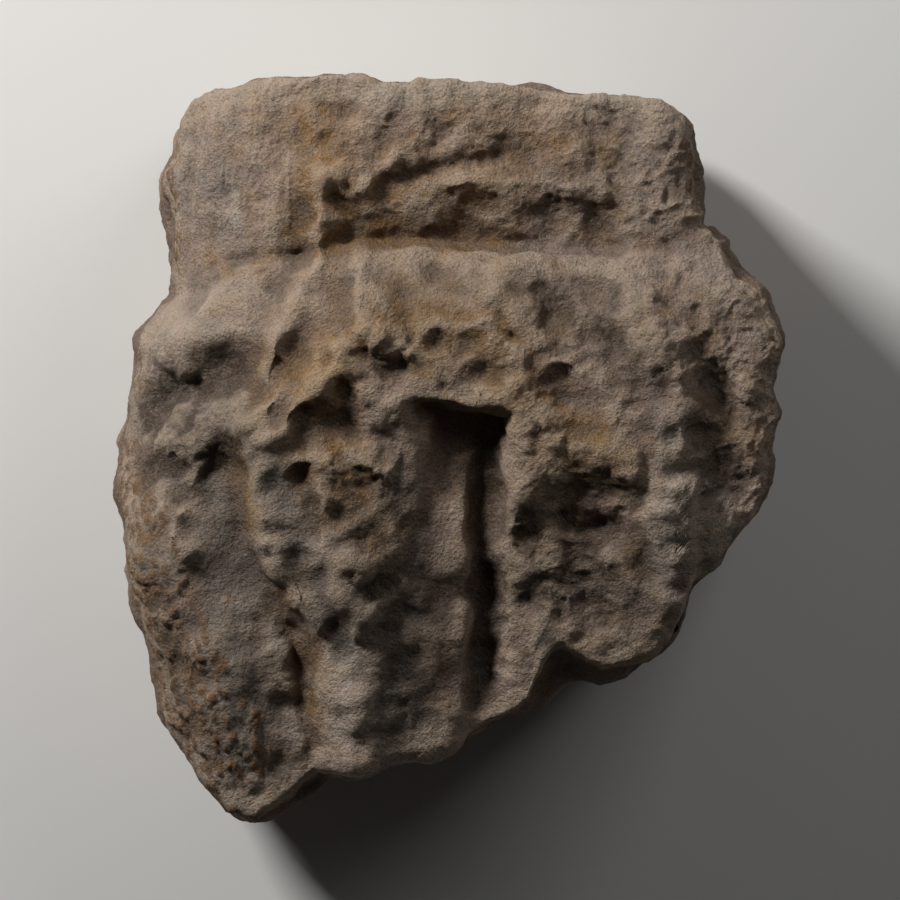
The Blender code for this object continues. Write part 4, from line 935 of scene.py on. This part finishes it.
def add(tree, kind, inputs=(), **settings):
    """A node of this kind with its settings, each input given as a value or as the socket that feeds it."""
    made = tree.nodes.new(kind)
    for name, value in settings.items():
        setattr(made, name, value)
    for name, value in dict(inputs).items():
        if isinstance(value, bpy.types.NodeSocket):
            tree.links.new(value, made.inputs[name])
        else:
            made.inputs[name].default_value = value
    return made


# The stone's colours and its painted shade and highlight, laid one over the other: the stain or painted mark
# that bounds each one or none, the size of its clouds in mm, where in the noise they start and are full, the
# most it covers, and its colour.
COLOUR_LAYERS = [
    (None, 45, 0.38, 0.62, 1.0, "#907B6C"),
    (None, 11, 0.48, 0.66, 0.7, "#7D736A"),
    (None, 14, 0.50, 0.68, 0.6, "#94744B"),
    ("greyed", 9, 0.25, 0.55, 0.9, "#776F68"),
    ("ochre", 8, 0.28, 0.60, 1.0, "#8F6A38"),
    (None, 5, 0.52, 0.75, 0.6, "#5F4C3A"),
    ("pale", 5, 0.30, 0.55, 1.0, "#ADA49A"),
    # painted shade in the niche, the channel, the flanks and under ledges
    ("painted_shade", 7, 0.25, 0.55, 0.85, "#3B3027"),
    # painted shade in the hollows and pits
    ("hollow", 20, 0.00, 0.10, 0.45, "#4A3D31"),
    # painted highlight on the crests
    ("crest", 20, 0.00, 0.10, 0.40, "#B8A58F"),
    ("crust", 4, 0.15, 0.40, 1.0, "#7B5F47"),
    (None, 0.9, 0.50, 0.75, 0.30, "#C2B19C"),
    (None, 1.0, 0.50, 0.72, 0.65, "#4A3D31"),
]
BARE_STONE = "#A18B7D"
# The grains are about half a millimetre, and cling together in clumps of two or three.
CLUMP_MM = 2.2
GRAIN_RISE = 0.0024
GRAIN_SHARE = 0.72


def weathered_limestone():
    """Soft limestone with a weathered, sugary skin: dull and warm buff, ochre where iron has stained it, with
    grey brown painted shade in its hollows, niche and channel, and a painted highlight on its crests."""
    material = bpy.data.materials.new("weathered_limestone")
    material.use_nodes = True
    tree = material.node_tree
    shader = tree.nodes["Principled BSDF"]
    shader.inputs["Roughness"].default_value = 0.95
    shader.inputs["Specular IOR Level"].default_value = 0.25
    place = add(tree, "ShaderNodeTexCoord").outputs["Object"]
    colour = linear(BARE_STONE)
    for stain, size_mm, start, full, most, hex_colour in COLOUR_LAYERS:
        cloud = add(tree, "ShaderNodeTexNoise", {"Vector": place, "Scale": 1000 / size_mm, "Detail": 4.0,
                                                 "Roughness": 0.6})
        cover = add(tree, "ShaderNodeMapRange", {"Value": cloud.outputs["Fac"], "From Min": start,
                                                 "From Max": full, "To Max": most})
        share = cover.outputs[0]
        if stain:
            mark = add(tree, "ShaderNodeAttribute", attribute_name=stain)
            both = add(tree, "ShaderNodeMath", {0: share, 1: mark.outputs["Fac"]}, operation="MULTIPLY")
            share = both.outputs[0]
        # Inputs 0, 6 and 7 of this node are the share and the two colours.
        over = add(tree, "ShaderNodeMix", {0: share, 6: colour, 7: linear(hex_colour)}, data_type="RGBA")
        colour = over.outputs[2]
    tree.links.new(colour, shader.inputs["Base Color"])
    # Each layer of this noise is half the size of the one before and this share of its height.
    grains = add(tree, "ShaderNodeTexNoise", {"Vector": place, "Scale": 1000 / CLUMP_MM, "Detail": 4.0,
                                              "Roughness": GRAIN_SHARE})
    bump = add(tree, "ShaderNodeBump", {"Height": grains.outputs["Fac"], "Distance": GRAIN_RISE})
    tree.links.new(bump.outputs[0], shader.inputs["Normal"])
    return material


def pale_floor():
    """A plain pale studio floor: matt painted board."""
    material = bpy.data.materials.new("matt_painted_board")
    material.use_nodes = True
    shader = material.node_tree.nodes["Principled BSDF"]
    shader.inputs["Base Color"].default_value = linear("#E4E2DE")
    shader.inputs["Roughness"].default_value = 0.9
    mesh = bpy.data.meshes.new("floor")
    corners = [(-FLOOR_HALF, -FLOOR_HALF, 0), (FLOOR_HALF, -FLOOR_HALF, 0), (FLOOR_HALF, FLOOR_HALF, 0),
               (-FLOOR_HALF, FLOOR_HALF, 0)]
    mesh.from_pydata(corners, [], [(0, 1, 2, 3)])
    mesh.materials.append(material)
    floor = bpy.data.objects.new("floor", mesh)
    bpy.context.collection.objects.link(floor)


def column_stone():
    """The finer stone in place of its solid, thinned evenly by what its shape can spare."""
    rings, stains_and_painted_light = finer_stone()
    mesh = closed_mesh("column_stone", within_the_solid(centred(rings)))
    put_stains_and_painted_light(mesh, stains_and_painted_light)
    mesh.materials.append(weathered_limestone())
    stone = bpy.data.objects.new("column_stone", mesh)
    bpy.context.collection.objects.link(stone)
    thin = stone.modifiers.new("fewer_triangles", "DECIMATE")
    thin.ratio = STONE_TRIANGLES / (2 * COLUMNS * len(rings))
    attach(stone, "root")
    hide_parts("column_section")


# The studio. Angles are in degrees: round from +X, and up from the floor.
FLOOR_HALF = 4.0
CAMERA_HEIGHT = 3.12
LENS = 300
KEY_ROUND, KEY_UP, KEY_FAR, KEY_SIZE, KEY_WATTS = 133, 30, 1.6, 0.35, 28.5
FILL_ROUND, FILL_UP, FILL_FAR, FILL_SIZE, FILL_WATTS = 50, 40, 1.8, 0.9, 5.6
SKY_STRENGTH = 0.015


def lamp(name, around, up, far, size, watts):
    """A square soft light at these angles and this distance, turned to face the stone's middle."""
    around, up = np.radians([around, up])
    way = np.array([np.cos(up) * np.cos(around), np.cos(up) * np.sin(around), np.sin(up)])
    data = bpy.data.lights.new(name, "AREA")
    data.size = size
    data.energy = watts
    light = bpy.data.objects.new(name, data)
    bpy.context.collection.objects.link(light)
    light.location = way * far + [0, 0, DEPTH / 2]
    light.rotation_euler = (np.pi / 2 - up, 0, around + np.pi / 2)


def studio():
    """Soft light from the upper left, a weaker one from the upper right, and a camera straight above."""
    lamp("key_light", KEY_ROUND, KEY_UP, KEY_FAR, KEY_SIZE, KEY_WATTS)
    lamp("fill_light", FILL_ROUND, FILL_UP, FILL_FAR, FILL_SIZE, FILL_WATTS)
    world = bpy.data.worlds.new("studio")
    world.use_nodes = True
    world.node_tree.nodes["Background"].inputs["Color"].default_value = (1, 1, 1, 1)
    world.node_tree.nodes["Background"].inputs["Strength"].default_value = SKY_STRENGTH
    bpy.context.scene.world = world
    bpy.context.scene.view_settings.view_transform = "Standard"
    data = bpy.data.cameras.new("camera")
    data.lens = LENS
    camera = bpy.data.objects.new("camera", data)
    camera.location = (0, 0, CAMERA_HEIGHT)
    bpy.context.collection.objects.link(camera)
    bpy.context.scene.camera = camera


column_stone()
pale_floor()
studio()
